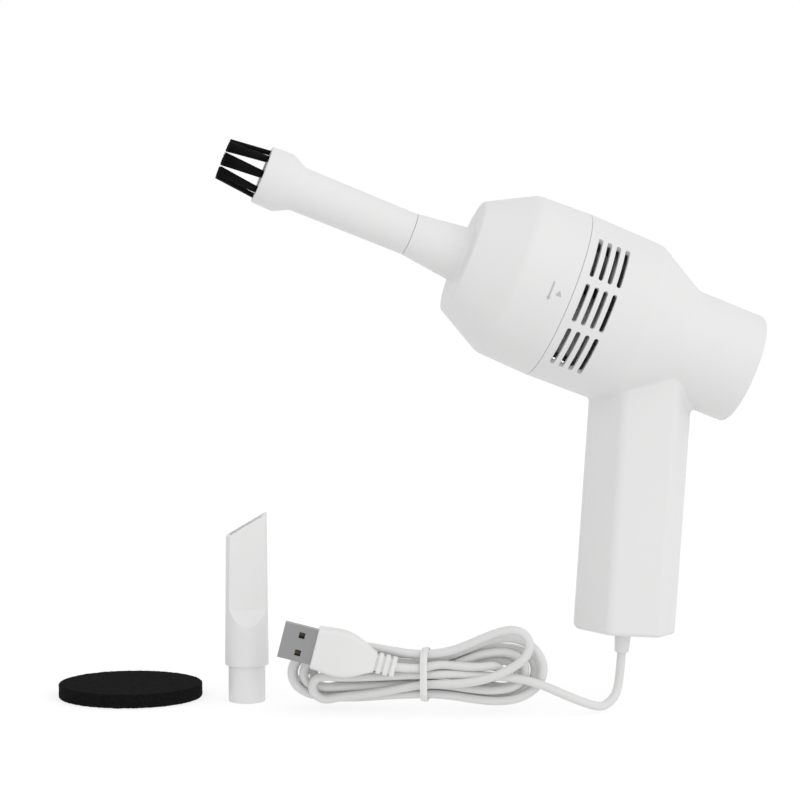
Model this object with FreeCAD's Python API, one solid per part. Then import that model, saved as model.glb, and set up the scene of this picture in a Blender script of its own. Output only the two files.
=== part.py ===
import FreeCAD, Part
import math
import os

# Desktop mini vacuum cleaner, in millimetres, +Z up.
# The origin is the middle of the grip. The nose points to -X and upwards, and the
# symmetry plane of the machine is the XZ plane. A surface lies below the handle, and the
# spare nozzle, the spare filter and the wound lead stand on it.

V = FreeCAD.Vector
Rotation = FreeCAD.Rotation
Placement = FreeCAD.Placement
os.makedirs("parts", exist_ok=True)

X_AXIS, Y_AXIS, Z_AXIS = V(1, 0, 0), V(0, 1, 0), V(0, 0, 1)
FULL_TURN = 360

# Turns a flat outline (x, y) to stand across the X axis, as (y, z)
ALONG_X = Rotation(V(0, 1, 0), V(0, 0, 1), V(1, 0, 0))

# Stance
nose_up_angle = 22.0
handle_lean_angle = 3.7
seam_back = -25.3
seam_height = 78.4
surface_drop = 62.5

# General
wall = 2.0
fit_gap = 0.08
flat_gap = 0.1
soft_gap = 0.15
overrun = 1.0
edge_round = 0.5
seam_round = 0.25

# Barrel of the housing, along the barrel axis from the seam with the dust cup
body_radius = 29.0
body_length = 27.0
shoulder_taper = 0.6
cone_length = 17.4
tail_radius = 19.0
tail_length = 24.7
tail_round = 1.8
cone_round = 5.0
flange_thickness = 2.0

# Spigot that the dust cup turns on, with its bayonet lugs
spigot_length = 7.0
spigot_wall = 1.6
lug_count = 3
lug_angle = 14.0
lug_height = 1.0
lug_length = 2.0
lug_setback = 3.0
twist_angle = 25.0
slot_play = 0.15
slot_play_angle = 1.5
seal_setback = 0.6
seal_width = 1.4
seal_depth = 0.7

# Dust cup
cup_length = 34.8
cup_side_length = 18.4
cup_side_taper = 0.8
cup_face_radius = 19.4
cup_round = 1.2
cup_side_round = 6.0
neck_length = 19.0
neck_root_radius = 9.6
neck_tip_radius = 7.3
neck_round = 1.2
socket_radius = 6.4
socket_depth = 13.0
inlet_radius = 5.4
inlet_reach = 5.0
inlet_wall = 1.6

# Exhaust slots, in groups on both sides
slot_first = 3.65
slot_pitch = 3.25
slot_width = 1.6
slot_count = 4
slot_group_angles = (-34.9, -0.9, 33.1)
slot_arc_angles = (31.4, 26.6, 31.0)

# Foam filter and its frame
foam_rim_gap = 0.32
foam_thickness = 5.0
foam_squeeze = 0.2
frame_floor = 1.5
frame_rim_wall = 1.1
frame_sleeve_length = 5.5
frame_sleeve_wall = 1.3
grille_hub_radius = 4.0
grille_bar = 1.4
grille_ring_count = 3
grille_spoke_count = 8

# Fan
inlet_plate_thickness = 1.4
eye_radius = 10.5
eye_lip = 1.5
eye_lip_wall = 1.0
fan_rim_gap = 6.5
fan_inner_radius = 8.5
fan_blade_count = 9
fan_blade_thickness = 0.9
fan_blade_sweep_angle = 42.0
fan_plate = 1.3
fan_hub_radius = 4.0
fan_front_gap = 0.9
fan_back_gap = 1.2

# Motor
mount_plate_thickness = 1.8
mount_plate_inset = 11.4
mount_rib_width = 1.6
mount_rib_height = 2.6
motor_radius = 13.85
motor_length = 34.0
motor_wall = 1.0
motor_nose_radius = 5.0
motor_nose_length = 1.5
motor_cap_length = 3.0
motor_cap_boss_radius = 4.5
motor_cap_boss_length = 2.5
shaft_radius = 1.15
bush_radius = 3.0
bush_length = 2.6
magnet_thickness = 2.2
magnet_angle = 130.0
magnet_length = 24.0
air_gap = 0.5
armature_length = 20.0
armature_pole_count = 5
armature_slot_width = 1.6
armature_slot_depth = 4.5
commutator_radius = 3.4
commutator_length = 5.0
motor_screw_circle_radius = 8.5
motor_screw_radius = 1.2
motor_screw_length = 4.4
motor_screw_head_radius = 2.1
motor_screw_head_height = 1.2
terminal_offset = 8.0
terminal_width = 2.6
terminal_thickness = 0.5
terminal_length = 4.5
cradle_rib_count = 4
cradle_rib_width = 1.8
cradle_rib_length = 10.0
cradle_rib_overlap = 4.4

# Handle, along its own axis from the middle of the grip
handle_front = 16.9
handle_back = 17.0
handle_half_thickness = 15.2
handle_flat_front = 7.9
handle_flat_back = 10.2
handle_front_half_flat = 2.5
handle_back_half_flat = 4.5
handle_bevel_round = 4.0
handle_ridge_round = 3.0
handle_drop = 36.0
handle_foot_round = 1.6
handle_wall = 2.2
junction_round = 1.7

# Housing screws, from the far side
screw_radius = 1.25
screw_pilot_gap = 0.03
screw_head_radius = 2.5
screw_head_height = 1.8
screw_length = 14.0
boss_radius = 3.0
screw_hole_radius = 1.6
counterbore_radius = 2.9
counterbore_floor = 3.0
handle_screw_heights = (3.0, -15.0)
barrel_screw_inset = 3.5
barrel_screw_depth = 5.9

# Slide switch on the far side of the handle
switch_height = 18.0
switch_travel = 4.0
switch_body_width = 8.6
switch_body_length = 17.0
switch_body_depth = 6.0
switch_stem_width = 3.6
switch_stem_length = 4.4
switch_slot_play = 0.3
switch_cap_width = 7.4
switch_cap_length = 9.6
switch_cap_height = 1.7
switch_cap_round = 1.2
switch_grip_count = 5
switch_grip_depth = 0.4
switch_grip_width = 0.7
switch_stem_depth = 3.2
switch_terminal_length = 3.0
switch_terminal_width = 1.6

# Brush nozzle
nozzle_tube_length = 40.5
nozzle_front_radius = 7.5
nozzle_root_radius = 7.2
nozzle_bore_radius = 5.3
spigot_play = 0.07
head_radius = 10.1
head_mouth_radius = 9.85
head_neck_length = 5.2
head_length = 7.6
head_round = 1.0
head_shoulder_round = 3.0
mouth_radius = 6.7
mouth_depth = 6.0
tuft_count = 8
tuft_root_radius = 7.95
tuft_root_depth = 4.0
tuft_root_half_width = 1.05
tuft_root_half_height = 0.85
tuft_tip_half_width = 2.2
tuft_tip_half_height = 1.0
tuft_length = 13.9
tuft_tip_circle_radius = 6.1

# Crevice nozzle, standing on its spigot
crevice_height = 65.3
crevice_spigot_length = 12.8
crevice_spigot_round = 0.5
crevice_root_radius = 7.5
crevice_tip_radius = 7.0
crevice_wall = 1.3
crevice_slant_drop = 8.2
crevice_flat_half = 3.9
crevice_flat_start = 32.2
crevice_ramp_start = 26.3
crevice_x = -128.8
crevice_y = 26.5

# Spare foam filter
spare_foam_x = -168.6
spare_foam_y = 39.8
foam_edge_round = 0.4

# Lead and strain relief
route_arc_share = 0.45
cord_radius = 1.5
relief_radius = 2.8
relief_tip_radius = 2.4
relief_drop = 7.7
relief_tip_round = 1.1
relief_flange_radius = 4.4
relief_flange_thickness = 1.5
relief_hole_gap = 0.05
cord_inside_length = 6.5
clamp_width = 14.0
clamp_height = 4.0
clamp_thickness = 1.6
clamp_drop = 29.0
clamp_boss_offset = 4.8
clamp_boss_radius = 1.9
clamp_screw_radius = 0.8
clamp_screw_head_radius = 1.6
clamp_screw_head_height = 0.9
clamp_screw_length = 5.0
saddle_width = 4.0
lead_radius = 0.55
lead_spread = 0.75

# Hank: strands at the waist lie in rows and layers, and swell into a lobe at each end
hank_x = -70.2
hank_y = 0.6
hank_lift = 12.5
hank_yaw_angle = -12.0
hank_row = 3.7
hank_layer = 3.8
hank_reach = 40.0
hank_bulge = 14.0
hank_rise = 10.0
hank_forward = 3.8
arcs_per_half_turn = 4
tie_width = 2.7
tie_thickness = 0.7
tie_gap = 0.3

# Plug
plug_tilt_angle = 14.2
plug_turn_angle = 6.0
plug_x = -87.6
plug_y = -6.7
plug_z = -44.2
shell_width = 12.0
shell_thickness = 4.5
shell_wall = 0.3
shell_length = 11.8
shell_hidden_length = 6.0
shell_round = 0.4
shell_window = 2.0
shell_window_spread = 3.0
shell_window_setback = 5.4
tongue_width = 10.9
tongue_thickness = 1.9
tongue_gap = 0.25
tongue_inset = 0.6
contact_count = 4
contact_pitch = 2.2
contact_width = 1.1
contact_thickness = 0.2
contact_length = 7.5
grip_width = 15.3
grip_thickness = 8.0
grip_length = 20.5
grip_round = 1.6
grip_rim = 0.4
tail_width = 6.6
tail_thickness = 5.4
tail_piece_length = 7.0
tail_rib_count = 3
tail_rib_gap = 0.9
tail_rib_depth = 0.7

# Worked out from the sizes above
body_inner_radius = body_radius - wall
shoulder_radius = body_radius - shoulder_taper
cup_front_radius = body_radius - cup_side_taper
spigot_radius = body_inner_radius - fit_gap
spigot_inner_radius = spigot_radius - spigot_wall
foam_radius = spigot_inner_radius - foam_rim_gap
fan_radius = body_inner_radius - fan_rim_gap
cone_end = body_length + cone_length
tail_end = cone_end + tail_length
cup_front = -cup_length
neck_front = cup_front - neck_length
foot = -handle_drop
surface = -surface_drop
inlet_plate_back = flange_thickness + inlet_plate_thickness
mount_plate_setback = body_length - mount_plate_inset
mount_plate_back = mount_plate_setback + mount_plate_thickness
motor_back = mount_plate_back + motor_length
motor_cap_back = motor_back + motor_cap_length
fan_front = inlet_plate_back + fan_front_gap
fan_back = mount_plate_setback - motor_screw_head_height - fan_back_gap
fan_plate_front = fan_back - fan_plate
fan_blade_height = fan_plate_front - fan_front
cradle_rib_start = motor_back - cradle_rib_overlap
barrel_screw_setback = body_length - barrel_screw_inset
barrel_screw_offset = shoulder_radius - wall - barrel_screw_depth
spigot_fit_radius = socket_radius - spigot_play
handle_top = seam_height + seam_back * math.tan(math.radians(nose_up_angle))


def barrel_place(shape):
    """Barrel coordinates (X along the axis, rearward from the seam) to the part's frame."""
    placed = shape.copy()
    turn = Rotation(Y_AXIS, nose_up_angle)
    placed.Placement = Placement(V(seam_back, 0, seam_height), turn).multiply(placed.Placement)
    return placed


def handle_place(shape):
    """Handle coordinates (Z up along the grip, from its middle) to the part's frame."""
    placed = shape.copy()
    turn = Rotation(Y_AXIS, handle_lean_angle)
    placed.Placement = Placement(V(0, 0, 0), turn).multiply(placed.Placement)
    return placed


def corner_arc(before, corner, after, radius):
    """The arc that rounds one corner of an outline."""
    to_before = (before - corner).normalize()
    to_after = (after - corner).normalize()
    half = to_before.getAngle(to_after) / 2
    reach = radius / math.tan(half)
    middle = (to_before + to_after).normalize() * (radius / math.sin(half) - radius)
    return Part.Arc(corner + to_before * reach, corner + middle, corner + to_after * reach)


def outline(corners):
    """A closed wire in the XY plane; each corner is (x, y) or (x, y, rounding radius)."""
    points = [V(corner[0], corner[1], 0) for corner in corners]
    radii = [corner[2] if len(corner) > 2 else 0 for corner in corners]
    count = len(points)
    arcs = {}
    for index, radius in enumerate(radii):
        if radius > 0:
            after = points[(index + 1) % count]
            arcs[index] = corner_arc(points[index - 1], points[index], after, radius)
    edges = []
    for index in range(count):
        following = (index + 1) % count
        start = arcs[index].EndPoint if index in arcs else points[index]
        end = arcs[following].StartPoint if following in arcs else points[following]
        if index in arcs:
            edges.append(arcs[index].toShape())
        edges.append(Part.LineSegment(start, end).toShape())
    return Part.Wire(edges)


def rectangle(low_x, low_y, high_x, high_y, rounding):
    """A closed wire round a rectangle with rounded corners, in the XY plane."""
    return outline([(low_x, low_y, rounding), (high_x, low_y, rounding),
                    (high_x, high_y, rounding), (low_x, high_y, rounding)])


def revolved(corners, angle=FULL_TURN):
    """A profile of (distance along X, radius) corners, turned about the X axis."""
    return Part.Face(outline(corners)).revolve(V(0, 0, 0), X_AXIS, angle)


def upright(corners):
    """A profile of (radius, height) corners, turned about the Z axis."""
    face = Part.Face(outline(corners))
    face.rotate(V(0, 0, 0), X_AXIS, FULL_TURN / 4)
    return face.revolve(V(0, 0, 0), Z_AXIS, FULL_TURN)


def ring(start, end, inner, outer):
    """A plain ring about the X axis."""
    return revolved([(start, inner), (end, inner), (end, outer), (start, outer)])


def rod(start, end, radius):
    """A plain cylinder about the X axis."""
    return Part.makeCylinder(radius, end - start, V(start, 0, 0), X_AXIS)


def block(low, high):
    """A box from its lowest to its highest corner."""
    return Part.makeBox(high[0] - low[0], high[1] - low[1], high[2] - low[2], V(*low))


def around(shape, count, start_angle=0):
    """Copies of a shape, evenly spaced about the X axis."""
    copies = []
    for index in range(count):
        copy = shape.copy()
        copy.rotate(V(0, 0, 0), X_AXIS, start_angle + FULL_TURN * index / count)
        copies.append(copy)
    return copies


def fused(shapes):
    """One solid from several that meet."""
    joined = shapes[0].multiFuse(shapes[1:])
    return joined.removeSplitter()


def save(name, shape):
    """Writes one piece, or a group of separate ones, after a look at its solids."""
    solids = shape.Solids
    volume = sum(solid.Volume for solid in solids)
    print(f"{name}: {len(solids)} solid(s), {volume:.1f} mm3, valid {shape.isValid()}")
    shape.exportStep(f"parts/{name}.step")


# Housing


def housing_outer():
    """The barrel and the handle as one full solid, with a soft joint between them."""
    barrel = revolved([
        (0, 0),
        (0, body_radius, seam_round),
        (body_length, shoulder_radius, cone_round),
        (cone_end, tail_radius, cone_round),
        (tail_end, tail_radius, tail_round),
        (tail_end, 0),
    ])
    barrel = barrel_place(barrel)
    whole = barrel.fuse(handle_place(handle_solid(0, foot, handle_foot_round)))
    whole = whole.removeSplitter()
    return softened_joint(whole)


def softened_joint(whole):
    """Rounds the inner corner where the handle runs into the barrel."""
    inverse = handle_place(Part.Vertex(0, 0, 0)).Placement.inverse()
    joint_edges = []
    for edge in whole.Edges:
        middle = inverse.multVec(edge.valueAt((edge.FirstParameter + edge.LastParameter) / 2))
        along_section = abs(middle.x) < handle_back + edge_round
        across_section = abs(middle.y) < handle_half_thickness + edge_round
        near_joint = handle_flat_back < middle.z < handle_top
        if along_section and across_section and near_joint and not is_upright(edge, inverse):
            joint_edges.append(edge)
    return whole.makeFillet(junction_round, joint_edges)


def is_upright(edge, inverse):
    """Whether an edge runs along the grip."""
    start = inverse.multVec(edge.firstVertex().Point)
    end = inverse.multVec(edge.lastVertex().Point)
    return math.hypot(end.x - start.x, end.y - start.y) < edge_round / 5


def handle_section(inset):
    """The grip's section: a blunt back, side flats and a narrower front."""
    side = handle_half_thickness - inset
    bevel = handle_bevel_round - inset / 2
    ridge = handle_ridge_round - inset / 2
    half = [
        (-handle_front + inset, handle_front_half_flat, ridge),
        (-handle_flat_front + inset / 2, side, bevel),
        (handle_flat_back - inset / 2, side, bevel),
        (handle_back - inset, handle_back_half_flat, ridge),
    ]
    mirrored = [(x, -y, radius) for x, y, radius in reversed(half)]
    return outline(half + mirrored)


def handle_solid(inset, bottom, foot_round):
    """The grip, from its foot up into the barrel."""
    face = Part.Face(handle_section(inset))
    face.translate(V(0, 0, bottom))
    solid = face.extrude(V(0, 0, handle_top - bottom))
    foot_edges = [edge for edge in solid.Edges if edge.BoundBox.ZMax < bottom + edge_round]
    if foot_round > 0:
        solid = solid.makeFillet(foot_round, foot_edges)
    return solid


def housing_cavity():
    """The hollow inside both halves."""
    inner_tail = tail_radius - wall
    barrel = revolved([
        (flange_thickness, 0),
        (flange_thickness, body_inner_radius),
        (body_length - wall / 4, shoulder_radius - wall, cone_round),
        (cone_end - wall / 2, inner_tail, cone_round),
        (tail_end - wall, inner_tail),
        (tail_end - wall, 0),
    ])
    mouth = rod(-overrun, flange_thickness + overrun, spigot_inner_radius)
    hollow = barrel_place(barrel.fuse(mouth))
    return hollow.fuse(handle_place(handle_solid(handle_wall, foot + handle_wall, 0)))


def barrel_inner_radius(along):
    """Radius of the barrel's inner wall at a place behind the seam, before its cone."""
    start, end = flange_thickness, body_length - wall / 4
    lost = body_inner_radius - (shoulder_radius - wall)
    return body_inner_radius - lost * (along - start) / (end - start)


def spigot_sleeve():
    """The collar in front of the housing, with a groove for the seal."""
    seal_back = -seal_setback
    seal_front = seal_back - seal_width
    groove = spigot_radius - seal_depth - fit_gap
    return revolved([
        (-spigot_length, spigot_inner_radius),
        (-spigot_length, spigot_radius),
        (seal_front - fit_gap, spigot_radius),
        (seal_front - fit_gap, groove),
        (seal_back + fit_gap, groove),
        (seal_back + fit_gap, spigot_radius),
        (0, spigot_radius),
        (flange_thickness, spigot_radius),
        (flange_thickness, spigot_inner_radius),
    ])


def sector(start, end, inner, outer, from_angle, sweep_angle):
    """Part of a ring about the X axis; angles count from the far side (+Y) upwards."""
    piece = revolved([(start, inner), (end, inner), (end, outer), (start, outer)], sweep_angle)
    piece.rotate(V(0, 0, 0), X_AXIS, from_angle)
    return piece


def lug_start_angles():
    """Where the bayonet lugs begin; none lies on the plane between the halves."""
    first = FULL_TURN / 4 / lug_count
    return [first - lug_angle / 2 + FULL_TURN * index / lug_count for index in range(lug_count)]


def bayonet_lugs():
    """The lugs on the collar."""
    back = -lug_setback
    inner = spigot_radius - spigot_wall / 2
    outer = spigot_radius + lug_height
    return [sector(back - lug_length, back, inner, outer, angle, lug_angle)
            for angle in lug_start_angles()]


def exhaust_slots():
    """Obround slots through the barrel's wall, on both sides."""
    inner = body_inner_radius - wall
    outer = body_radius + overrun
    half = slot_width / 2
    cutters = []
    for side_angle in (0, FULL_TURN / 2):
        for group_angle, arc_angle in zip(slot_group_angles, slot_arc_angles):
            arc = arc_angle - math.degrees(slot_width / body_radius)
            signed = group_angle if side_angle == 0 else -group_angle
            middle = side_angle + signed
            for index in range(slot_count):
                place = slot_first + slot_pitch * index
                cutters.append(sector(place - half, place + half, inner, outer, middle - arc / 2, arc))
                for end_angle in (middle - arc / 2, middle + arc / 2):
                    bore = Part.makeCylinder(half, outer - inner, V(place, inner, 0), Y_AXIS)
                    bore.rotate(V(0, 0, 0), X_AXIS, end_angle)
                    cutters.append(bore)
    return cutters


def cradle_ribs():
    """Short ribs in the tail that hold the motor's back."""
    start = cradle_rib_start
    half = cradle_rib_width / 2
    rib = block((start, motor_radius + fit_gap, -half),
                (start + cradle_rib_length, tail_radius - wall / 2, half))
    return around(rib, cradle_rib_count, FULL_TURN / cradle_rib_count / 2)


def mount_rib():
    """The rib that the motor plate rests against."""
    back = mount_plate_back + mount_rib_width
    inner = barrel_inner_radius(back) - mount_rib_height
    return ring(mount_plate_back, back, inner, barrel_inner_radius(back) + wall / 2)


def screw_places():
    """The axis of each housing screw in the part's frame, as points on the middle plane."""
    points = [handle_place(Part.Vertex(0, 0, height)).Point for height in handle_screw_heights]
    for side in (1, -1):
        points.append(barrel_place(Part.Vertex(barrel_screw_setback, 0, side * barrel_screw_offset)).Point)
    return points


def housing():
    """Both halves, with ribs, bosses, slots, spigot and lugs."""
    outer = housing_outer()
    cavity = housing_cavity()
    inside = [barrel_place(rib) for rib in cradle_ribs() + [mount_rib()]]
    half_depth = body_radius + overrun
    for point in screw_places():
        post = Part.makeCylinder(boss_radius, half_depth * 2, point - Y_AXIS * half_depth, Y_AXIS)
        inside.append(post)
    lead_way = barrel_place(rod(-overrun, tail_end - wall, motor_radius + fit_gap / 2))
    inside = fused(inside).common(outer).cut(lead_way)
    shell = outer.cut(cavity).fuse(inside)
    shell = shell.fuse([barrel_place(piece) for piece in [spigot_sleeve()] + bayonet_lugs()])
    cutters = [barrel_place(cutter) for cutter in exhaust_slots()]
    cutters.append(relief_hole())
    shell = shell.cut(cutters)
    big = body_radius * 4
    near_space = Part.makeBox(big * 2, big, big * 2, V(-big, -big, -big))
    far_space = Part.makeBox(big * 2, big, big * 2, V(-big, 0, -big))
    return near_half(shell.common(near_space)), far_half(shell.common(far_space))


def near_half(half):
    """The near half gets blind pilot holes and the saddle for the cord clamp."""
    depth = screw_length
    pilots = []
    for point in screw_places():
        pilots.append(Part.makeCylinder(screw_radius + screw_pilot_gap, depth + overrun * 2,
                                        point - Y_AXIS * depth, Y_AXIS))
    posts = []
    wall_y = -handle_half_thickness + handle_wall / 2
    post_top = cord_radius
    for side in (-1, 1):
        base = V(side * clamp_boss_offset, wall_y, -clamp_drop)
        posts.append(Part.makeCylinder(clamp_boss_radius, post_top - wall_y, base, Y_AXIS))
    half_width, half_height = saddle_width / 2, clamp_height / 2
    posts.append(block((-half_width, wall_y, -clamp_drop - half_height),
                       (half_width, -cord_radius, -clamp_drop + half_height)))
    half = half.fuse([handle_place(post) for post in posts])
    for side in (-1, 1):
        start = V(side * clamp_boss_offset, post_top - clamp_screw_length, -clamp_drop)
        pilot = clamp_screw_radius + screw_pilot_gap
        hole = Part.makeCylinder(pilot, clamp_screw_length + overrun, start, Y_AXIS)
        pilots.append(handle_place(hole))
    return half.cut(pilots).removeSplitter()


def far_half(half):
    """The far half gets screw holes with deep seats, and the switch slot."""
    cutters = []
    depth = body_radius + overrun
    for point in screw_places():
        seat = point + Y_AXIS * counterbore_floor
        cutters.append(Part.makeCylinder(screw_hole_radius, depth, point - Y_AXIS * overrun, Y_AXIS))
        cutters.append(Part.makeCylinder(counterbore_radius, depth, seat, Y_AXIS))
    half_width = switch_stem_width / 2 + switch_slot_play
    low = switch_height - switch_stem_length / 2 - switch_slot_play
    high = switch_height + switch_stem_length / 2 + switch_travel + switch_slot_play
    inner_y = handle_half_thickness - handle_wall - overrun
    slot = block((-half_width, inner_y, low), (half_width, handle_half_thickness + overrun, high))
    cutters.append(handle_place(slot))
    return half.cut(cutters).removeSplitter()


def housing_screws():
    """Self-tapping screws, each with a domed head and a cross recess."""
    screws = []
    seat = counterbore_floor
    for point in screw_places():
        tip = seat - screw_length
        head = seat + screw_head_height
        profile = Part.Face(outline([
            (0, tip), (screw_radius / 3, tip), (screw_radius, tip + screw_radius * 2),
            (screw_radius, seat), (screw_head_radius, seat),
            (screw_head_radius, head, screw_head_height / 2), (0, head),
        ]))
        screw = profile.revolve(V(0, 0, 0), Y_AXIS, FULL_TURN)
        slot = block((-screw_head_radius, head - screw_head_height / 2, -screw_radius / 4),
                     (screw_head_radius, head + overrun, screw_radius / 4))
        cross = slot.copy()
        cross.rotate(V(0, 0, 0), Y_AXIS, FULL_TURN / 4)
        keep = Part.makeCylinder(screw_head_radius * 2 / 3, screw_head_height, V(0, seat, 0), Y_AXIS)
        screw = screw.cut(slot.fuse(cross).common(keep))
        screw.translate(point)
        screws.append(screw)
    return Part.makeCompound(screws)


# Dust cup


def dust_cup():
    """The bowl with its neck, inlet tube and bayonet grooves."""
    back = -flat_gap
    inner_face = cup_front + wall
    inlet_back = inner_face + inlet_reach
    shell = revolved([
        (neck_front, socket_radius),
        (neck_front, neck_tip_radius, edge_round / 2),
        (cup_front, neck_root_radius, neck_round),
        (cup_front, cup_face_radius, cup_round),
        (-cup_side_length, cup_front_radius, cup_side_round),
        (back, body_radius, seam_round),
        (back, body_inner_radius),
        (-spigot_length - slot_play, body_inner_radius),
        (-cup_side_length + wall / 4, cup_front_radius - wall, cup_round),
        (inner_face, cup_face_radius - wall / 2),
        (inner_face, inlet_radius + inlet_wall),
        (inlet_back, inlet_radius + inlet_wall),
        (inlet_back, inlet_radius),
        (neck_front + socket_depth, inlet_radius),
        (neck_front + socket_depth, socket_radius),
    ])
    return shell.cut(bayonet_grooves())


def bayonet_grooves():
    """For each lug, a groove to turn along and a way out to the rim."""
    back = -lug_setback + slot_play
    front = back - lug_length - slot_play * 2
    inner = body_inner_radius - overrun
    outer = spigot_radius + lug_height + slot_play
    cutters = []
    for angle in lug_start_angles():
        start = angle - slot_play_angle - twist_angle
        sweep = lug_angle + twist_angle + slot_play_angle * 2
        cutters.append(sector(front, back, inner, outer, start, sweep))
        way_out = lug_angle + slot_play_angle * 2
        cutters.append(sector(front, overrun, inner, outer, start, way_out))
    return cutters


def cup_seal():
    """Soft ring in the collar's groove."""
    back = -seal_setback
    inner = spigot_radius - seal_depth - fit_gap / 2
    outer = body_inner_radius - fit_gap / 4
    bead = (outer - inner) / 3
    return revolved([
        (back - seal_width, inner), (back, inner),
        (back, outer, bead), (back - seal_width, outer, bead),
    ])


# Filter


def filter_frame():
    """A dish for the foam, with a grille floor and a sleeve into the collar."""
    front_of_floor = -spigot_length - flat_gap / 2 - frame_floor
    floor_back = front_of_floor + frame_floor
    rim_front = front_of_floor - foam_thickness
    rim_inner = foam_radius - foam_squeeze + soft_gap
    rim_outer = rim_inner + frame_rim_wall
    sleeve_outer = spigot_inner_radius - fit_gap
    sleeve_inner = sleeve_outer - frame_sleeve_wall
    body = revolved([
        (rim_front, rim_inner), (rim_front, rim_outer), (floor_back, rim_outer),
        (floor_back, sleeve_outer), (floor_back + frame_sleeve_length, sleeve_outer),
        (floor_back + frame_sleeve_length, sleeve_inner), (front_of_floor, sleeve_inner),
        (front_of_floor, rim_inner),
    ])
    pitch = (sleeve_inner - grille_hub_radius) / grille_ring_count
    bars = [ring(front_of_floor, floor_back, grille_hub_radius - grille_bar, grille_hub_radius)]
    for index in range(1, grille_ring_count):
        outer = grille_hub_radius + pitch * index
        bars.append(ring(front_of_floor, floor_back, outer - grille_bar, outer))
    spoke = block((front_of_floor, grille_hub_radius - grille_bar / 2, -grille_bar / 2),
                  (floor_back, sleeve_inner + frame_sleeve_wall / 2, grille_bar / 2))
    return fused([body] + bars + around(spoke, grille_spoke_count))


def foam_disc(radius):
    """A foam disc about the X axis, its back face at zero."""
    return revolved([
        (-foam_thickness, 0), (-foam_thickness, radius, foam_edge_round),
        (0, radius, foam_edge_round), (0, 0),
    ])


def filter_foam():
    """The foam in use, squeezed a little by its dish."""
    disc = foam_disc(foam_radius - foam_squeeze)
    disc.translate(V(-spigot_length - flat_gap / 2 - frame_floor, 0, 0))
    return disc


# Fan and motor


def fan_inlet_plate():
    """The wall in front of the fan, with a lipped eye."""
    lip_front = flange_thickness - eye_lip
    lip_outer = eye_radius + eye_lip_wall
    outer = barrel_inner_radius(inlet_plate_back) - fit_gap
    return revolved([
        (lip_front, eye_radius, eye_lip_wall / 3),
        (lip_front, lip_outer, eye_lip_wall / 3),
        (flange_thickness, lip_outer, eye_lip_wall / 3),
        (flange_thickness, outer),
        (inlet_plate_back, outer),
        (inlet_plate_back, eye_radius),
    ])


def blade_point(share, offset):
    """A point of the fan blade's plan, which sweeps back as it runs outwards."""
    radius = fan_inner_radius + (fan_radius - fan_inner_radius) * share
    angle = math.radians(fan_blade_sweep_angle) * math.sin(share * math.pi / 2)
    radial = V(0, math.cos(angle), math.sin(angle))
    across = V(0, -math.sin(angle), math.cos(angle))
    return radial * radius + across * offset


def fan_blade():
    """One curved blade, standing on the fan's back plate."""
    half = fan_blade_thickness / 2
    inner_side = [blade_point(share / 2, -half) for share in range(3)]
    outer_side = [blade_point(share / 2, half) for share in range(3)]
    wire = Part.Wire([
        Part.Arc(*inner_side).toShape(),
        Part.LineSegment(inner_side[2], outer_side[2]).toShape(),
        Part.Arc(*outer_side).toShape(),
        Part.LineSegment(outer_side[0], inner_side[0]).toShape(),
    ])
    blade = Part.Face(wire).extrude(V(fan_blade_height + fan_plate / 2, 0, 0))
    blade.translate(V(fan_front, 0, 0))
    return blade


def fan_impeller():
    """Hub, back plate and blades, bored for the shaft."""
    hub_front = fan_front + fan_blade_height / 3
    body = revolved([
        (hub_front, 0), (hub_front, fan_hub_radius, fan_hub_radius / 2),
        (fan_plate_front, fan_hub_radius), (fan_plate_front, fan_radius),
        (fan_back, fan_radius), (fan_back, 0),
    ])
    disc = fused([body] + around(fan_blade(), fan_blade_count))
    disc = disc.common(rod(fan_front - overrun, fan_back + overrun, fan_radius))
    return disc.cut(rod(hub_front - overrun, fan_back + overrun, shaft_radius))


def motor_plate():
    """The disc that carries the motor, with holes for its nose and screws."""
    plate = rod(mount_plate_setback, mount_plate_back, barrel_inner_radius(mount_plate_back) - fit_gap)
    holes = [rod(mount_plate_setback - overrun, mount_plate_back + overrun, motor_nose_radius + fit_gap)]
    for side in (-1, 1):
        hole = rod(mount_plate_setback - overrun, mount_plate_back + overrun, motor_screw_radius + fit_gap)
        hole.translate(V(0, side * motor_screw_circle_radius, 0))
        holes.append(hole)
    return plate.cut(holes)


def motor_can():
    """Drawn steel can with a nose boss and two screw holes in its front wall."""
    front = mount_plate_back
    nose = front - motor_nose_length
    inner = motor_radius - motor_wall
    can = revolved([
        (nose, bush_radius), (nose, motor_nose_radius, edge_round / 2),
        (front, motor_nose_radius), (front, motor_radius, edge_round * 2),
        (motor_back, motor_radius), (motor_back, inner),
        (front + motor_wall * 2, inner), (front + motor_wall * 2, bush_radius),
    ])
    for side in (-1, 1):
        hole = rod(front - overrun, front + motor_wall * 2 + overrun, motor_screw_radius)
        hole.translate(V(0, side * motor_screw_circle_radius, 0))
        can = can.cut(hole)
    return can


def motor_screws():
    """The two screws from the plate into the can."""
    screws = []
    head = mount_plate_setback - motor_screw_head_height
    for side in (-1, 1):
        screw = revolved([
            (head, 0), (head, motor_screw_head_radius, motor_screw_head_height / 3),
            (mount_plate_setback, motor_screw_head_radius),
            (mount_plate_setback, motor_screw_radius),
            (head + motor_screw_length, motor_screw_radius), (head + motor_screw_length, 0),
        ])
        screw.translate(V(0, side * motor_screw_circle_radius, 0))
        screws.append(screw)
    return Part.makeCompound(screws)


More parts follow.
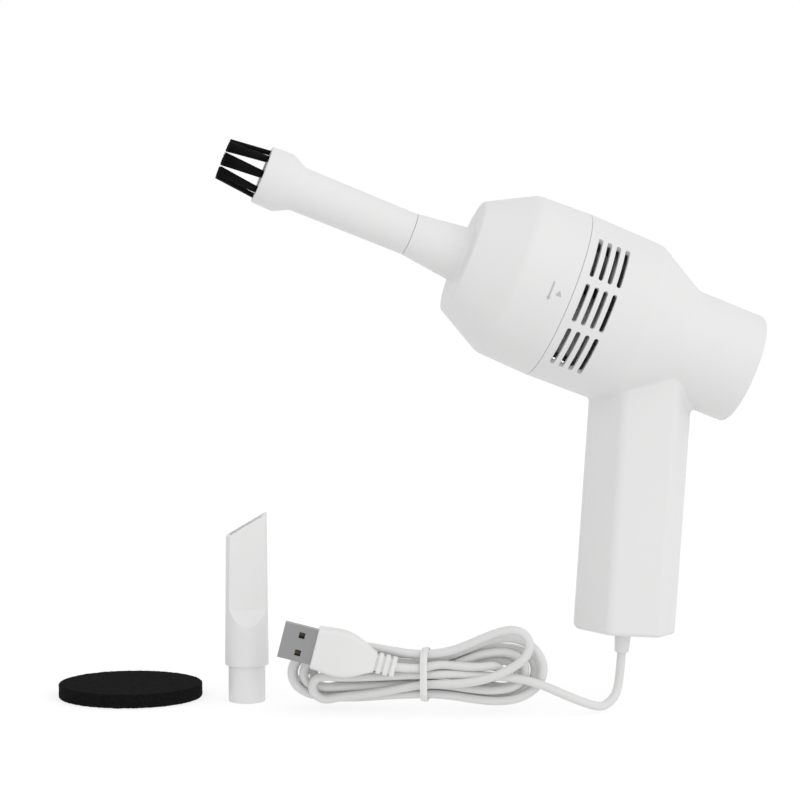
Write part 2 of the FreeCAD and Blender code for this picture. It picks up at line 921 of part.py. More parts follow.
def motor_end_cap():
    """Plastic cap that closes the can, with the back bush's seat."""
    boss_back = motor_cap_back + motor_cap_boss_length
    cap = revolved([
        (motor_back, bush_radius), (motor_back, motor_radius),
        (motor_cap_back, motor_radius, edge_round), (motor_cap_back, motor_cap_boss_radius),
        (boss_back, motor_cap_boss_radius), (boss_back, bush_radius),
    ])
    for side in (-1, 1):
        half_width, half_thick = terminal_width / 2, terminal_thickness / 2
        slot = block((motor_back - overrun, side * terminal_offset - half_thick, -half_width),
                     (motor_cap_back + overrun, side * terminal_offset + half_thick, half_width))
        cap = cap.cut(slot)
    return cap


def motor_terminals():
    """Brass tabs through the end cap, each with a hole for its lead."""
    tabs = []
    for side in (-1, 1):
        half_width, half_thick = terminal_width / 2, terminal_thickness / 2
        tab = block((motor_back, side * terminal_offset - half_thick, -half_width),
                    (motor_cap_back + terminal_length, side * terminal_offset + half_thick, half_width))
        eye = Part.makeCylinder(terminal_width / 4, terminal_thickness * 3,
                                V(motor_cap_back + terminal_length * 2 / 3,
                                  side * terminal_offset - terminal_thickness * 3 / 2, 0), Y_AXIS)
        tabs.append(tab.cut(eye))
    return Part.makeCompound(tabs)


def motor_bushes():
    """Plain bearings for the shaft, front and back."""
    inner = shaft_radius + fit_gap / 2
    front = mount_plate_back - motor_nose_length
    back = motor_cap_back + motor_cap_boss_length - bush_length
    return Part.makeCompound([ring(front, front + bush_length, inner, bush_radius),
                              ring(back, back + bush_length, inner, bush_radius)])


def magnet_start():
    """The magnets sit in the middle of the can's free length."""
    return (mount_plate_back + motor_wall * 2 + motor_back) / 2 - magnet_length / 2


def motor_magnets():
    """Two arc magnets against the can's wall."""
    outer = motor_radius - motor_wall
    start = magnet_start()
    return Part.makeCompound([
        sector(start, start + magnet_length, outer - magnet_thickness, outer,
               side_angle - magnet_angle / 2, magnet_angle)
        for side_angle in (0, FULL_TURN / 2)])


def motor_armature():
    """Slotted core and commutator, on the shaft."""
    radius = motor_radius - motor_wall - magnet_thickness - air_gap
    start = magnet_start() + (magnet_length - armature_length) / 2
    end = start + armature_length
    core = rod(start, end, radius)
    half = armature_slot_width / 2
    slot = block((start - overrun, radius - armature_slot_depth, -half),
                 (end + overrun, radius + overrun, half))
    core = core.cut(around(slot, armature_pole_count))
    commutator = rod(end - overrun, end + commutator_length, commutator_radius)
    return core.fuse(commutator).cut(rod(start - overrun, end + commutator_length + overrun, shaft_radius))


def motor_shaft():
    """The steel shaft from the fan's hub to the back bush."""
    front = fan_front + fan_blade_height / 2
    back = motor_cap_back + motor_cap_boss_length
    chamfer = shaft_radius / 4
    return revolved([
        (front, 0), (front, shaft_radius - chamfer), (front + chamfer, shaft_radius),
        (back - chamfer, shaft_radius), (back, shaft_radius - chamfer), (back, 0),
    ])


# Switch


def switch_body():
    """Slide switch inside the far wall, open where its stem runs, with terminals below."""
    top = handle_half_thickness - handle_wall - flat_gap
    half_width, half_length = switch_body_width / 2, switch_body_length / 2
    middle = switch_height + switch_travel / 2
    body = block((-half_width, top - switch_body_depth, middle - half_length),
                 (half_width, top, middle + half_length))
    play = switch_slot_play
    stem_half = switch_stem_width / 2 + play
    low = switch_height - switch_stem_length / 2 - play
    high = switch_height + switch_stem_length / 2 + switch_travel + play
    bottom = handle_half_thickness - switch_stem_depth - handle_wall - play
    body = body.cut(block((-stem_half, bottom, low), (stem_half, top + overrun, high)))
    half = switch_terminal_width / 2
    under = top - switch_body_depth
    tabs = []
    for side in (-1, 1):
        height = middle + side * half_length / 2
        tabs.append(block((-half, under - switch_terminal_length, height - terminal_thickness / 2),
                          (half, under + overrun / 2, height + terminal_thickness / 2)))
    return body.fuse(tabs).removeSplitter()


def switch_knob():
    """The sliding cap with its finger ridges and stem."""
    face = handle_half_thickness + flat_gap
    outer = face + switch_cap_height
    half_width, half_length = switch_cap_width / 2, switch_cap_length / 2
    plate = Part.Face(rectangle(-half_width, -half_length, half_width, half_length, switch_cap_round))
    cap = plate.extrude(V(0, 0, switch_cap_height))
    rim = [edge for edge in cap.Edges if edge.BoundBox.ZMin > switch_cap_height - edge_round / 2]
    cap = cap.makeFillet(edge_round, rim)
    cap.rotate(V(0, 0, 0), X_AXIS, -FULL_TURN / 4)
    cap.translate(V(0, face, 0))
    pitch = switch_cap_length / (switch_grip_count + 1)
    grooves = []
    for index in range(switch_grip_count):
        low = (index - (switch_grip_count - 1) / 2) * pitch - switch_grip_width / 2
        grooves.append(block((-half_width - overrun, outer - switch_grip_depth, low),
                             (half_width + overrun, outer + overrun, low + switch_grip_width)))
    half_stem, half_stem_length = switch_stem_width / 2, switch_stem_length / 2
    stem = block((-half_stem, handle_half_thickness - handle_wall - switch_stem_depth, -half_stem_length),
                 (half_stem, face + overrun / 2, half_stem_length))
    knob = cap.cut(grooves).fuse(stem).removeSplitter()
    knob.translate(V(0, 0, switch_height))
    return knob


# Nozzles


def brush_head_front():
    """Where the brush nozzle's mouth ends, along the barrel axis."""
    return neck_front - nozzle_tube_length - head_neck_length - head_length


def brush_nozzle():
    """Spigot, tube and flared head with a pocket for each tuft."""
    root = neck_front - flat_gap
    tube_front = neck_front - nozzle_tube_length
    head_back = tube_front - head_neck_length
    mouth = brush_head_front()
    spigot_back = neck_front + socket_depth - flat_gap * 5
    body = revolved([
        (spigot_back, nozzle_bore_radius), (spigot_back, spigot_fit_radius, edge_round / 2),
        (root, spigot_fit_radius), (root, nozzle_root_radius, edge_round / 2),
        (tube_front, nozzle_front_radius, head_shoulder_round),
        (head_back, head_radius, head_shoulder_round),
        (mouth, head_mouth_radius, edge_round),
        (mouth, mouth_radius, edge_round / 2),
        (mouth + mouth_depth, mouth_radius, head_round),
        (mouth + mouth_depth + head_neck_length, nozzle_bore_radius, head_round),
    ])
    pocket = tuft(0)
    return body.cut(around(pocket, tuft_count))


def tuft_outline(place, half_width, half_height, radius):
    """One section of a tuft: a small flattened loop across the nozzle's axis."""
    bow = half_height / 2
    left, right = V(place, radius, -half_width), V(place, radius, half_width)
    top = V(place, radius + half_height, 0)
    bottom = V(place, radius - half_height + bow / 2, 0)
    return Part.Wire([Part.Arc(left, top, right).toShape(), Part.Arc(right, bottom, left).toShape()])


def tuft(play):
    """A tuft that fans out across the ring and leans in towards its tip."""
    mouth = brush_head_front()
    root = tuft_outline(mouth + tuft_root_depth, tuft_root_half_width - play,
                        tuft_root_half_height - play, tuft_root_radius)
    lip = tuft_outline(mouth, tuft_root_half_width - play, tuft_root_half_height - play, tuft_root_radius)
    tip = tuft_outline(mouth - tuft_length, tuft_tip_half_width, tuft_tip_half_height, tuft_tip_circle_radius)
    inside = Part.makeLoft([root, lip], True, True)
    if play == 0:
        return inside.fuse(Part.makeLoft([lip, tip], True, True))
    return inside.fuse(Part.makeLoft([lip, tip], True, True)).removeSplitter()


def brush_tufts():
    """All tufts, seated in their pockets."""
    return Part.makeCompound(around(tuft(fit_gap / 4), tuft_count))


def crevice_nozzle():
    """A tube that flattens to a slanted slot, standing on its spigot."""
    top = crevice_height
    outer = upright([
        (0, 0), (spigot_fit_radius, 0, crevice_spigot_round), (spigot_fit_radius, crevice_spigot_length),
        (crevice_root_radius, crevice_spigot_length, edge_round / 2), (crevice_tip_radius, top), (0, top),
    ])
    bore = upright([
        (0, -overrun), (nozzle_bore_radius, -overrun), (nozzle_bore_radius, crevice_spigot_length),
        (crevice_root_radius - crevice_wall, crevice_spigot_length + crevice_wall * 2),
        (crevice_tip_radius - crevice_wall, top + overrun), (0, top + overrun),
    ])
    outer = outer.cut(crevice_flats(0))
    bore = bore.cut(crevice_flats(crevice_wall))
    reach = crevice_root_radius + overrun
    slope = crevice_slant_drop / (2 * crevice_tip_radius)
    low, high = top - crevice_slant_drop - slope * overrun, top + slope * overrun
    side = crevice_tip_radius + overrun
    above = Part.Face(Part.makePolygon([
        V(-side, -reach, low), V(side, -reach, high), V(side, -reach, high + reach),
        V(-side, -reach, high + reach), V(-side, -reach, low)])).extrude(V(0, 2 * reach, 0))
    nozzle = outer.cut(bore).cut(above)
    nozzle.translate(V(crevice_x, crevice_y, surface))
    return nozzle


def crevice_flats(inset):
    """What is taken off the round tube, front and back, to flatten its upper part."""
    reach = crevice_root_radius + overrun
    flat = crevice_flat_half - inset
    rise = crevice_flat_start - crevice_ramp_start
    slope = (crevice_root_radius - crevice_flat_half) / rise
    start = crevice_ramp_start - (overrun + inset) / slope
    wedge = Part.Face(Part.makePolygon([
        V(-reach, -reach, start), V(-reach, -flat, crevice_flat_start),
        V(-reach, -flat, crevice_height + reach), V(-reach, -reach, crevice_height + reach),
        V(-reach, -reach, start)])).extrude(V(2 * reach, 0, 0))
    other = wedge.copy()
    other.rotate(V(0, 0, 0), Z_AXIS, FULL_TURN / 2)
    return [wedge, other]


def spare_foam():
    """The spare disc, lying flat on the surface."""
    disc = foam_disc(foam_radius)
    disc.rotate(V(0, 0, 0), Y_AXIS, FULL_TURN / 4)
    disc.translate(V(spare_foam_x, spare_foam_y, surface))
    return disc


# Lead


def relief_hole():
    """The round hole in the grip's foot."""
    hole = Part.makeCylinder(relief_radius + relief_hole_gap, handle_wall + overrun * 2,
                             V(0, 0, foot - overrun))
    return handle_place(hole)


def strain_relief():
    """Soft sleeve through the foot, with a flange inside and a rounded tip."""
    inner = foot + handle_wall
    tip = foot - relief_drop
    sleeve = upright([
        (0, tip), (relief_tip_radius, tip, relief_tip_round), (relief_radius, foot),
        (relief_radius, inner), (relief_flange_radius, inner),
        (relief_flange_radius, inner + relief_flange_thickness), (0, inner + relief_flange_thickness),
    ])
    return handle_place(sleeve)


def cord_inside():
    """The jacketed end of the lead, inside the foot of the grip."""
    start = foot + handle_wall + relief_flange_thickness
    return handle_place(Part.makeCylinder(cord_radius, cord_inside_length, V(0, 0, start)))


def cord_clamp():
    """The bar that holds the lead down on its saddle."""
    half_width, half_height = clamp_width / 2, clamp_height / 2
    bar = block((-half_width, cord_radius, -clamp_drop - half_height),
                (half_width, cord_radius + clamp_thickness, -clamp_drop + half_height))
    for side in (-1, 1):
        hole = Part.makeCylinder(clamp_screw_radius + screw_pilot_gap, clamp_thickness + overrun * 2,
                                 V(side * clamp_boss_offset, cord_radius - overrun, -clamp_drop), Y_AXIS)
        bar = bar.cut(hole)
    return handle_place(bar)


def clamp_screws():
    """The clamp's two screws."""
    top = cord_radius + clamp_thickness
    screws = []
    for side in (-1, 1):
        shank = Part.makeCylinder(clamp_screw_radius, clamp_screw_length,
                                  V(side * clamp_boss_offset, top - clamp_screw_length, -clamp_drop), Y_AXIS)
        head = Part.makeCylinder(clamp_screw_head_radius, clamp_screw_head_height,
                                 V(side * clamp_boss_offset, top, -clamp_drop), Y_AXIS)
        screws.append(handle_place(shank.fuse(head)))
    return Part.makeCompound(screws)


def lead_routes():
    """Each lead inside the housing, as points chosen by hand: handle points, then barrel points."""
    start = foot + handle_wall + relief_flange_thickness + cord_inside_length
    first = start + lead_radius * 4
    under = handle_half_thickness - handle_wall - flat_gap - switch_body_depth - switch_terminal_length
    before = under - lead_radius * 6
    middle = switch_height + switch_travel / 2
    low, high = middle - switch_body_length / 4, middle + switch_body_length / 4
    tab_end = motor_cap_back + terminal_length
    turn_back = tab_end + lead_radius * 8
    before_tab = tab_end + lead_radius * 4
    supply = [
        (lead_spread, 0, start), (lead_spread, 0, first), (5.0, 0.4, -19.0), (5.6, 1.0, -12.0),
        (5.6, 1.0, -3.0), (5.4, 0.8, 6.0), (3.0, 0.0, 12.5), (0, before, low), (0, under, low),
    ]
    switched = [(0, under, high), (0, before, high), (1.5, -1.5, 29.0), (3.5, -1.0, 36.0)]
    switched_on = [
        (36.0, 1.6, -21.0), (42.0, 1.6, -17.4), (48.0, 1.6, -15.4), (55.0, 1.6, -15.4),
        (before_tab, 2.6, -14.0), (turn_back, 5.6, -8.5), (turn_back, terminal_offset, -3.0),
        (before_tab, terminal_offset, 0.0), (tab_end, terminal_offset, 0.0),
    ]
    returning = [
        (-lead_spread, 0, start), (-lead_spread, 0, first), (-5.0, -0.4, -19.0), (-5.6, -1.0, -12.0),
        (-5.6, -1.0, -3.0), (-5.4, -1.5, 6.0), (-4.0, -3.0, 15.0), (-2.0, -4.0, 24.0), (1.0, -4.0, 33.0),
    ]
    returning_on = [
        (35.0, -1.6, -22.0), (42.0, -1.6, -17.4), (48.0, -1.6, -15.4), (55.0, -1.6, -15.4),
        (before_tab, -2.6, -14.0), (turn_back, -5.6, -8.5), (turn_back, -terminal_offset, -3.0),
        (before_tab, -terminal_offset, 0.0), (tab_end, -terminal_offset, 0.0),
    ]
    routes = {
        "lead_supply": (supply, []),
        "lead_switched": (switched, switched_on),
        "lead_return": (returning, returning_on),
    }
    return {name: [handle_place(Part.Vertex(*point)).Point for point in lower]
            + [barrel_place(Part.Vertex(*point)).Point for point in upper]
            for name, (lower, upper) in routes.items()}


def run_lengths(points):
    """Length of each straight run of a route."""
    return [(points[index + 1] - points[index]).Length for index in range(len(points) - 1)]


def rounded_route(points, name):
    """Straight runs joined by tangent arcs, each as large as its two runs allow."""
    runs = run_lengths(points)
    edges = []
    radii = []
    start = points[0]
    for index in range(1, len(points) - 1):
        before, corner, after = points[index - 1], points[index], points[index + 1]
        turn = (corner - before).getAngle(after - corner)
        reach = route_arc_share * min(runs[index - 1], runs[index])
        radius = reach / math.tan(turn / 2)
        radii.append(radius)
        arc = corner_arc(before, corner, after, radius)
        edges.append(Part.LineSegment(start, arc.StartPoint).toShape())
        edges.append(arc.toShape())
        start = arc.EndPoint
    edges.append(Part.LineSegment(start, points[-1]).toShape())
    print(f"{name}: arc radii", [round(radius, 1) for radius in radii])
    return Part.Wire(edges)


def tube(wire, radius, name):
    """A round tube along a wire, with its volume set against section times length."""
    start = wire.Edges[0].valueAt(wire.Edges[0].FirstParameter)
    direction = wire.Edges[0].tangentAt(wire.Edges[0].FirstParameter)
    circle = Part.Wire(Part.makeCircle(radius, start, direction))
    solid = wire.makePipeShell([circle], True, False)
    expected = math.pi * radius ** 2 * wire.Length
    print(f"{name}: length {wire.Length:.1f}, volume {solid.Volume / expected:.4f} of section x length")
    return solid


# Route of the free lead, from the strain relief's tip to the hank: points chosen by hand
def free_route():
    """The free stretch: out of the handle, down to the surface and up into the hank."""
    exit_point = handle_place(Part.Vertex(0, 0, foot - relief_drop)).Point
    below_exit = handle_place(Part.Vertex(0, 0, foot - relief_drop - cord_radius * 3)).Point
    lowest = surface + cord_radius
    points = [exit_point, below_exit]
    points += [
        V(-4.0, -3.0, -54.4), V(-6.0, -5.2, -58.2), V(-10.2, -7.2, lowest),
        V(-15.6, -8.9, lowest + 0.3), V(-22.3, -11.1, -57.4), V(-29.3, -12.9, -54.0),
    ]
    return points + list(hank_exit_points())


# Hank


def hank_place_point(point):
    """Hank coordinates (X along it, Z up, from the tie) to the part's frame."""
    turn = Rotation(Z_AXIS, hank_yaw_angle)
    return turn.multVec(point) + V(hank_x, hank_y, surface + hank_lift)


def hank_exit_points():
    """Where the lead leaves the hank: a point before it, and its end face."""
    before, end = hank_leave()
    outside = end + (end - before).normalize() * cord_radius * 4
    return hank_place_point(outside), hank_place_point(end)


def hank_leave():
    """The hank's last straight piece, in hank coordinates."""
    return V(24.0, -5.6, -2.0), V(29.0, -5.7, -2.3)


# Each half turn of the hank runs from one crossing of the waist to the next. The columns are:
# row at the start and at the end, layer at the start and at the end, then shares of the
# hank's reach, bulge, rise and forward lean, how early the layer changes, and how much of
# the bulge the first half has.
front_layer_share, back_layer_share, outer_row_share = 2.1, 1.5, 2.0
half_turn_shares = (
    (1.0, 1.0, -2.1, 1.5, 0.80, 0.91, 0.31, 0.0, 2.0, 0.9),
    (1.0, -1.0, 1.5, 1.5, 0.99, 1.03, 0.15, 0.0, 1.0, 1.0),
    (-1.0, 2.0, 1.5, 1.5, 0.99, 1.65, 0.40, 0.0, 1.0, 1.0),
    (2.0, -2.0, 1.5, 0.5, 1.12, 1.38, 0.25, 0.0, 1.0, 1.0),
    (-2.0, 1.0, 0.5, 0.5, 0.97, 1.45, 0.40, 0.0, 1.0, 1.0),
    (1.0, -1.0, 0.5, 0.5, 0.98, 1.00, 0.15, 0.0, 1.0, 1.0),
    (-1.0, 1.0, 0.5, -0.5, 0.83, 0.88, 0.30, 0.0, 1.0, 1.0),
    (1.0, -1.0, -0.5, -0.5, 0.97, 1.00, 0.15, 0.0, 1.0, 1.0),
    (-1.0, 2.0, -0.5, -0.5, 1.01, 1.60, 0.40, 0.0, 1.0, 1.0),
    (2.0, -1.8, -0.5, -1.5, 1.14, 1.43, 0.25, 0.0, 1.0, 1.0),
    (-1.8, 2.0, -1.5, -1.5, 1.00, 0.93, 0.90, 1.0, 1.0, 1.0),
    (2.0, -0.7, -1.5, -1.5, 0.96, 0.93, 0.15, 0.0, 1.0, 1.0),
)


def smooth(share):
    """An even change from 0 to 1, level at both ends."""
    share = min(1, max(0, share))
    return share * share * (3 - 2 * share)


def hank_point(turn):
    """A point of the wound lead's middle line; turn counts from 0 at the first crossing."""
    index = min(int(turn * 2), len(half_turn_shares) - 1)
    (row_from, row_to, layer_from, layer_to, reach, bulge, rise, forward,
     haste, early_bulge) = half_turn_shares[index]
    along = turn * 2 - index
    angle = math.pi * along
    side = 1 if index % 2 == 0 else -1
    out, level = math.sin(angle), math.cos(angle)
    rows = (row_from * (1 + level) + row_to * (1 - level)) / 2 * hank_row
    swell = bulge * hank_bulge * (early_bulge + (1 - early_bulge) * smooth(along * 8 / 5))
    height = rows - side * level * swell * out ** 2 + rise * hank_rise * out ** 2
    layer = layer_from + (layer_to - layer_from) * smooth(along * haste)
    depth = layer * hank_layer - forward * hank_forward * smooth(out * 7 / 5)
    return V(side * reach * hank_reach * out, depth, height)


def hank_stations():
    """Points and directions that the wound lead passes, its two ends included."""
    stations = hank_start()
    steps = len(half_turn_shares) * arcs_per_half_turn
    total = len(half_turn_shares) / 2
    step = total / steps
    small = step / 1000
    for index in range(steps + 1):
        turn = min(max(index * step, small), total - small)
        direction = hank_point(turn + small) - hank_point(turn - small)
        stations.append((hank_point(turn), direction.normalize()))
    leave = hank_leave()
    stations.append((leave[0], (leave[1] - leave[0]).normalize()))
    stations.append((leave[1], (leave[1] - leave[0]).normalize()))
    return stations


def hank_start():
    """The wound lead's first straight piece, out of the plug's tail, in hank coordinates."""
    back = Rotation(Z_AXIS, -hank_yaw_angle)
    end = V(plug_x, plug_y, plug_z) + plug_rotation().multVec(V(tail_piece_length, 0, 0))
    direction = back.multVec(plug_rotation().multVec(X_AXIS))
    first = back.multVec(end - V(hank_x, hank_y, surface + hank_lift))
    return [(first, direction), (first + direction * cord_radius, direction)]


def biarc(start, start_direction, end, end_direction):
    """Two arcs that leave and arrive in the given directions and share a tangent."""
    chord = end - start
    sum_of_directions = start_direction + end_direction
    a = 2 * (1 - start_direction.dot(end_direction))
    b = 2 * chord.dot(sum_of_directions)
    c = -chord.dot(chord)
    if abs(a) < overrun / 1e6:
        reach = -c / b
    else:
        reach = (-b + math.sqrt(b * b - 4 * a * c)) / (2 * a)
    first_corner = start + start_direction * reach
    second_corner = end - end_direction * reach
    joint = (first_corner + second_corner) / 2
    return [tangent_arc(start, start_direction, joint), tangent_arc(end, end_direction * -1, joint)]


def tangent_arc(start, direction, end):
    """The arc from one point to another that leaves in a given direction, or a line."""
    chord = end - start
    side = chord - direction * chord.dot(direction)
    if side.Length < overrun / 1e4:
        return Part.LineSegment(start, end).toShape()
    side.normalize()
    radius = chord.dot(chord) / (2 * chord.dot(side))
    centre = start + side * radius
    middle = centre - ((centre - start) + (centre - end)).normalize() * radius
    return Part.Arc(start, middle, end).toShape()


def hank_wire():
    """The wound lead's middle line as lines and arcs, in the part's frame."""
    turn = Rotation(Z_AXIS, hank_yaw_angle)
    stations = [(hank_place_point(point), turn.multVec(direction)) for point, direction in hank_stations()]
    first, last = stations[0][0], stations[-1][0]
    edges = [Part.LineSegment(first, stations[1][0]).toShape()]
    for index in range(1, len(stations) - 2):
        edges += biarc(*stations[index], *stations[index + 1])
    edges.append(Part.LineSegment(stations[-2][0], last).toShape())
    return Part.Wire(Part.sortEdges(edges)[0])


def least_gap(wire, radius):
    """Least gap between turns of a wound tube, and its tightest arc, from points along it."""
    points, lengths = [], []
    travelled = 0
    spacing = radius * 2 / 3
    for edge in wire.OrderedEdges:
        count = max(2, int(edge.Length / spacing))
        for index, point in enumerate(edge.discretize(count + 1)[:-1]):
            points.append(point)
            lengths.append(travelled + edge.Length * index / count)
        travelled += edge.Length
    apart = radius * 8
    smallest = travelled
    for i in range(len(points)):
        for j in range(i + 1, len(points)):
            if lengths[j] - lengths[i] > apart:
                smallest = min(smallest, (points[i] - points[j]).Length)
    tightest = min(edge.Curve.Radius for edge in wire.Edges if edge.Curve.TypeId == "Part::GeomCircle")
    return smallest - 2 * radius, tightest


def cord_hank():
    """The wound lead as one unbroken tube."""
    wire = hank_wire()
    gap, tightest = least_gap(wire, cord_radius)
    print(f"cord_hank: least gap to itself {gap:.2f}, tightest arc {tightest:.1f}")
    return tube(wire, cord_radius, "cord_hank")


def cable_tie():
    """The band round the hank's waist."""
    inner_round = cord_radius + tie_gap
    inner_front = -(front_layer_share * hank_layer + inner_round)
    inner_back = back_layer_share * hank_layer + inner_round
    inner_height = outer_row_share * hank_row + inner_round
    grow = tie_thickness
    outer = Part.Face(rectangle(inner_front - grow, -inner_height - grow,
                                inner_back + grow, inner_height + grow, inner_round + grow))
    inner = Part.Face(rectangle(inner_front, -inner_height, inner_back, inner_height, inner_round))
    band = outer.cut(inner).extrude(V(0, 0, tie_width))
    band.translate(V(0, 0, -tie_width / 2))
    band.Placement = Placement(V(0, 0, 0), ALONG_X).multiply(band.Placement)
    turn = Rotation(Z_AXIS, hank_yaw_angle)
    band.Placement = Placement(V(hank_x, hank_y, surface + hank_lift), turn).multiply(band.Placement)
    return band


# Plug


def plug_rotation():
    """The plug's turn: with the hank, and its tail dipping."""
    yaw = hank_yaw_angle + plug_turn_angle
    return Rotation(Z_AXIS, yaw).multiply(Rotation(Y_AXIS, plug_tilt_angle))


def plug_place(shape):
    """Plug coordinates (X towards the tail from the grip's end, Z across) to the part's frame."""
    placed = shape.copy()
    placed.Placement = Placement(V(plug_x, plug_y, plug_z), plug_rotation()).multiply(placed.Placement)
    return placed


def across_plug(place, width, thickness, rounding):
    """A rounded rectangle across the plug at a place along it."""
    wire = rectangle(-thickness / 2, -width / 2, thickness / 2, width / 2, rounding)
    wire.Placement = Placement(V(place, 0, 0), ALONG_X)
    return wire


def rounded_bar(start, end, width, thickness, rounding):
    """A bar along X with rounded long edges."""
    bar = Part.Face(across_plug(0, width, thickness, rounding)).extrude(V(end - start, 0, 0))
    bar.translate(V(start, 0, 0))
    return bar


# The grip's plan from its front to its tail: share of its length, then how much of the way
# from its full width and thickness to the tail's it has gone
grip_plan_shares = ((0.0, 0.12), (0.25, 0.0), (0.53, 0.05), (0.66, 0.24), (0.78, 0.50), (0.90, 0.79),
                    (1.0, 1.0))


def grip_section(place_share, way_share, inset):
    """The grip's rounded section at a share of its length."""
    width = grip_width + (tail_width - grip_width) * way_share - inset * 2
    thickness = grip_thickness + (tail_thickness - grip_thickness) * way_share - inset * 2
    rounding = grip_round * width / grip_width
    return across_plug(grip_length * (place_share - 1), width, thickness, rounding)


def plug_grip():
    """The moulded grip: slightly bellied, with rounded shoulders down to the tail."""
    sections = [grip_section(place, way, 0) for place, way in grip_plan_shares]
    belly = Part.makeLoft(sections, True, False)
    place, way = grip_plan_shares[0]
    rim = grip_section(place, way, grip_rim)
    rim.translate(V(-grip_rim, 0, 0))
    return belly.fuse(Part.makeLoft([rim, sections[0]], True, True))


def plug_overmould():
    """The moulded grip and its ribbed tail, with the pocket that holds the shell."""
    front = -grip_length
    end_round = grip_round * tail_width / grip_width
    core = rounded_bar(0, tail_piece_length, tail_width - tail_rib_depth * 2,
                       tail_thickness - tail_rib_depth * 2, end_round / 2)
    pitch = tail_piece_length / tail_rib_count
    ribs = []
    for index in range(tail_rib_count):
        end = pitch * (index + 1)
        ribs.append(rounded_bar(end - pitch + tail_rib_gap, end, tail_width, tail_thickness, end_round))
    whole = fused([plug_grip(), core] + ribs)
    pocket = rounded_bar(front - overrun, front + shell_hidden_length,
                         shell_width, shell_thickness, shell_round)
    return whole.cut(pocket)


def plug_shell():
    """Folded sheet shell with two windows in each broad face."""
    front = -grip_length - shell_length
    back = -grip_length + shell_hidden_length
    outer = rounded_bar(front, back, shell_width, shell_thickness, shell_round)
    inner = rounded_bar(front - overrun, back - shell_wall, shell_width - shell_wall * 2,
                        shell_thickness - shell_wall * 2, shell_round / 4)
    half = shell_window / 2
    cutters = [inner]
    for side in (-1, 1):
        place = front + shell_window_setback
        middle = side * shell_window_spread
        cutters.append(block((place, -shell_thickness, middle - half),
                             (place + shell_window, shell_thickness, middle + half)))
    return outer.cut(cutters)


def plug_tongue():
    """The insulating tongue in the shell's far half."""
    front = -grip_length - shell_length + tongue_inset
    back = -grip_length + shell_hidden_length - shell_wall
    side = shell_thickness / 2 - shell_wall - tongue_gap
    half = tongue_width / 2
    return block((front, side - tongue_thickness, -half), (back, side, half))


def plug_contacts():
    """Gold contact strips on the tongue's face."""
    face = shell_thickness / 2 - shell_wall - tongue_gap - tongue_thickness
    front = -grip_length - shell_length + tongue_inset * 3
    half = contact_width / 2
    strips = []
    for index in range(contact_count):
        middle = (index - (contact_count - 1) / 2) * contact_pitch
        strips.append(block((front, face - contact_thickness, middle - half),
                            (front + contact_length, face, middle + half)))
    return Part.makeCompound(strips)


def main():
    near, far = housing()
    save("housing_near_half", near)
    save("housing_far_half", far)
    save("housing_screws", housing_screws())
    save("dust_cup", barrel_place(dust_cup()))
    save("cup_seal", barrel_place(cup_seal()))
    save("filter_frame", barrel_place(filter_frame()))
    save("filter_foam", barrel_place(filter_foam()))
    save("fan_inlet_plate", barrel_place(fan_inlet_plate()))
    save("fan_impeller", barrel_place(fan_impeller()))
    save("motor_plate", barrel_place(motor_plate()))
    save("motor_can", barrel_place(motor_can()))
    save("motor_screws", barrel_place(motor_screws()))
    save("motor_end_cap", barrel_place(motor_end_cap()))
    save("motor_terminals", barrel_place(motor_terminals()))
    save("motor_bushes", barrel_place(motor_bushes()))
    save("motor_magnets", barrel_place(motor_magnets()))
    save("motor_armature", barrel_place(motor_armature()))
    save("motor_shaft", barrel_place(motor_shaft()))
    save("switch_body", handle_place(switch_body()))
    save("switch_knob", handle_place(switch_knob()))
    save("brush_nozzle", barrel_place(brush_nozzle()))
    save("brush_tufts", barrel_place(brush_tufts()))
    save("crevice_nozzle", crevice_nozzle())
    save("spare_foam", spare_foam())
    save("strain_relief", strain_relief())
    save("cord_inside", cord_inside())
    save("cord_clamp", cord_clamp())
    save("clamp_screws", clamp_screws())
    for name, points in lead_routes().items():
        save(name, tube(rounded_route(points, name), lead_radius, name))
    save("cord_free", tube(rounded_route(free_route(), "cord_free"), cord_radius, "cord_free"))
    save("cord_hank", cord_hank())
    save("cable_tie", cable_tie())
    save("plug_overmould", plug_place(plug_overmould()))
    save("plug_shell", plug_place(plug_shell()))
    save("plug_tongue", plug_place(plug_tongue()))
    save("plug_contacts", plug_place(plug_contacts()))


main()
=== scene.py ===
import logging
import math
import random
from dataclasses import dataclass
from enum import Enum
from typing import Callable, Iterable, Sequence

import bmesh
import bpy
from mathutils import Matrix, Vector


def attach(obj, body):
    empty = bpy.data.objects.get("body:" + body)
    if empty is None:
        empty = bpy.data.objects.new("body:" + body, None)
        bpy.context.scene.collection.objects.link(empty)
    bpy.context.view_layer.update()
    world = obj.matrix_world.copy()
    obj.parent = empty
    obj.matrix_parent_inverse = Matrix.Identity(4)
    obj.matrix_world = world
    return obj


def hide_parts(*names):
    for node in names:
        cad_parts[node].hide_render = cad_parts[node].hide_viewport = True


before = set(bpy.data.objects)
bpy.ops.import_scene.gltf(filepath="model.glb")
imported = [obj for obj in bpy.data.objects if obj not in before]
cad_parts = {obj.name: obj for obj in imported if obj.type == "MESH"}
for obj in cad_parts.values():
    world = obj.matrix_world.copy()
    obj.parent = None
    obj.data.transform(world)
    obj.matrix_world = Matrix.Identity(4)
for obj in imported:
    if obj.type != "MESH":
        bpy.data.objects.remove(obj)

log = logging.getLogger("desk_vacuum")

Point = tuple[float, float, float]
Colour = tuple[float, float, float]

MM = 0.001

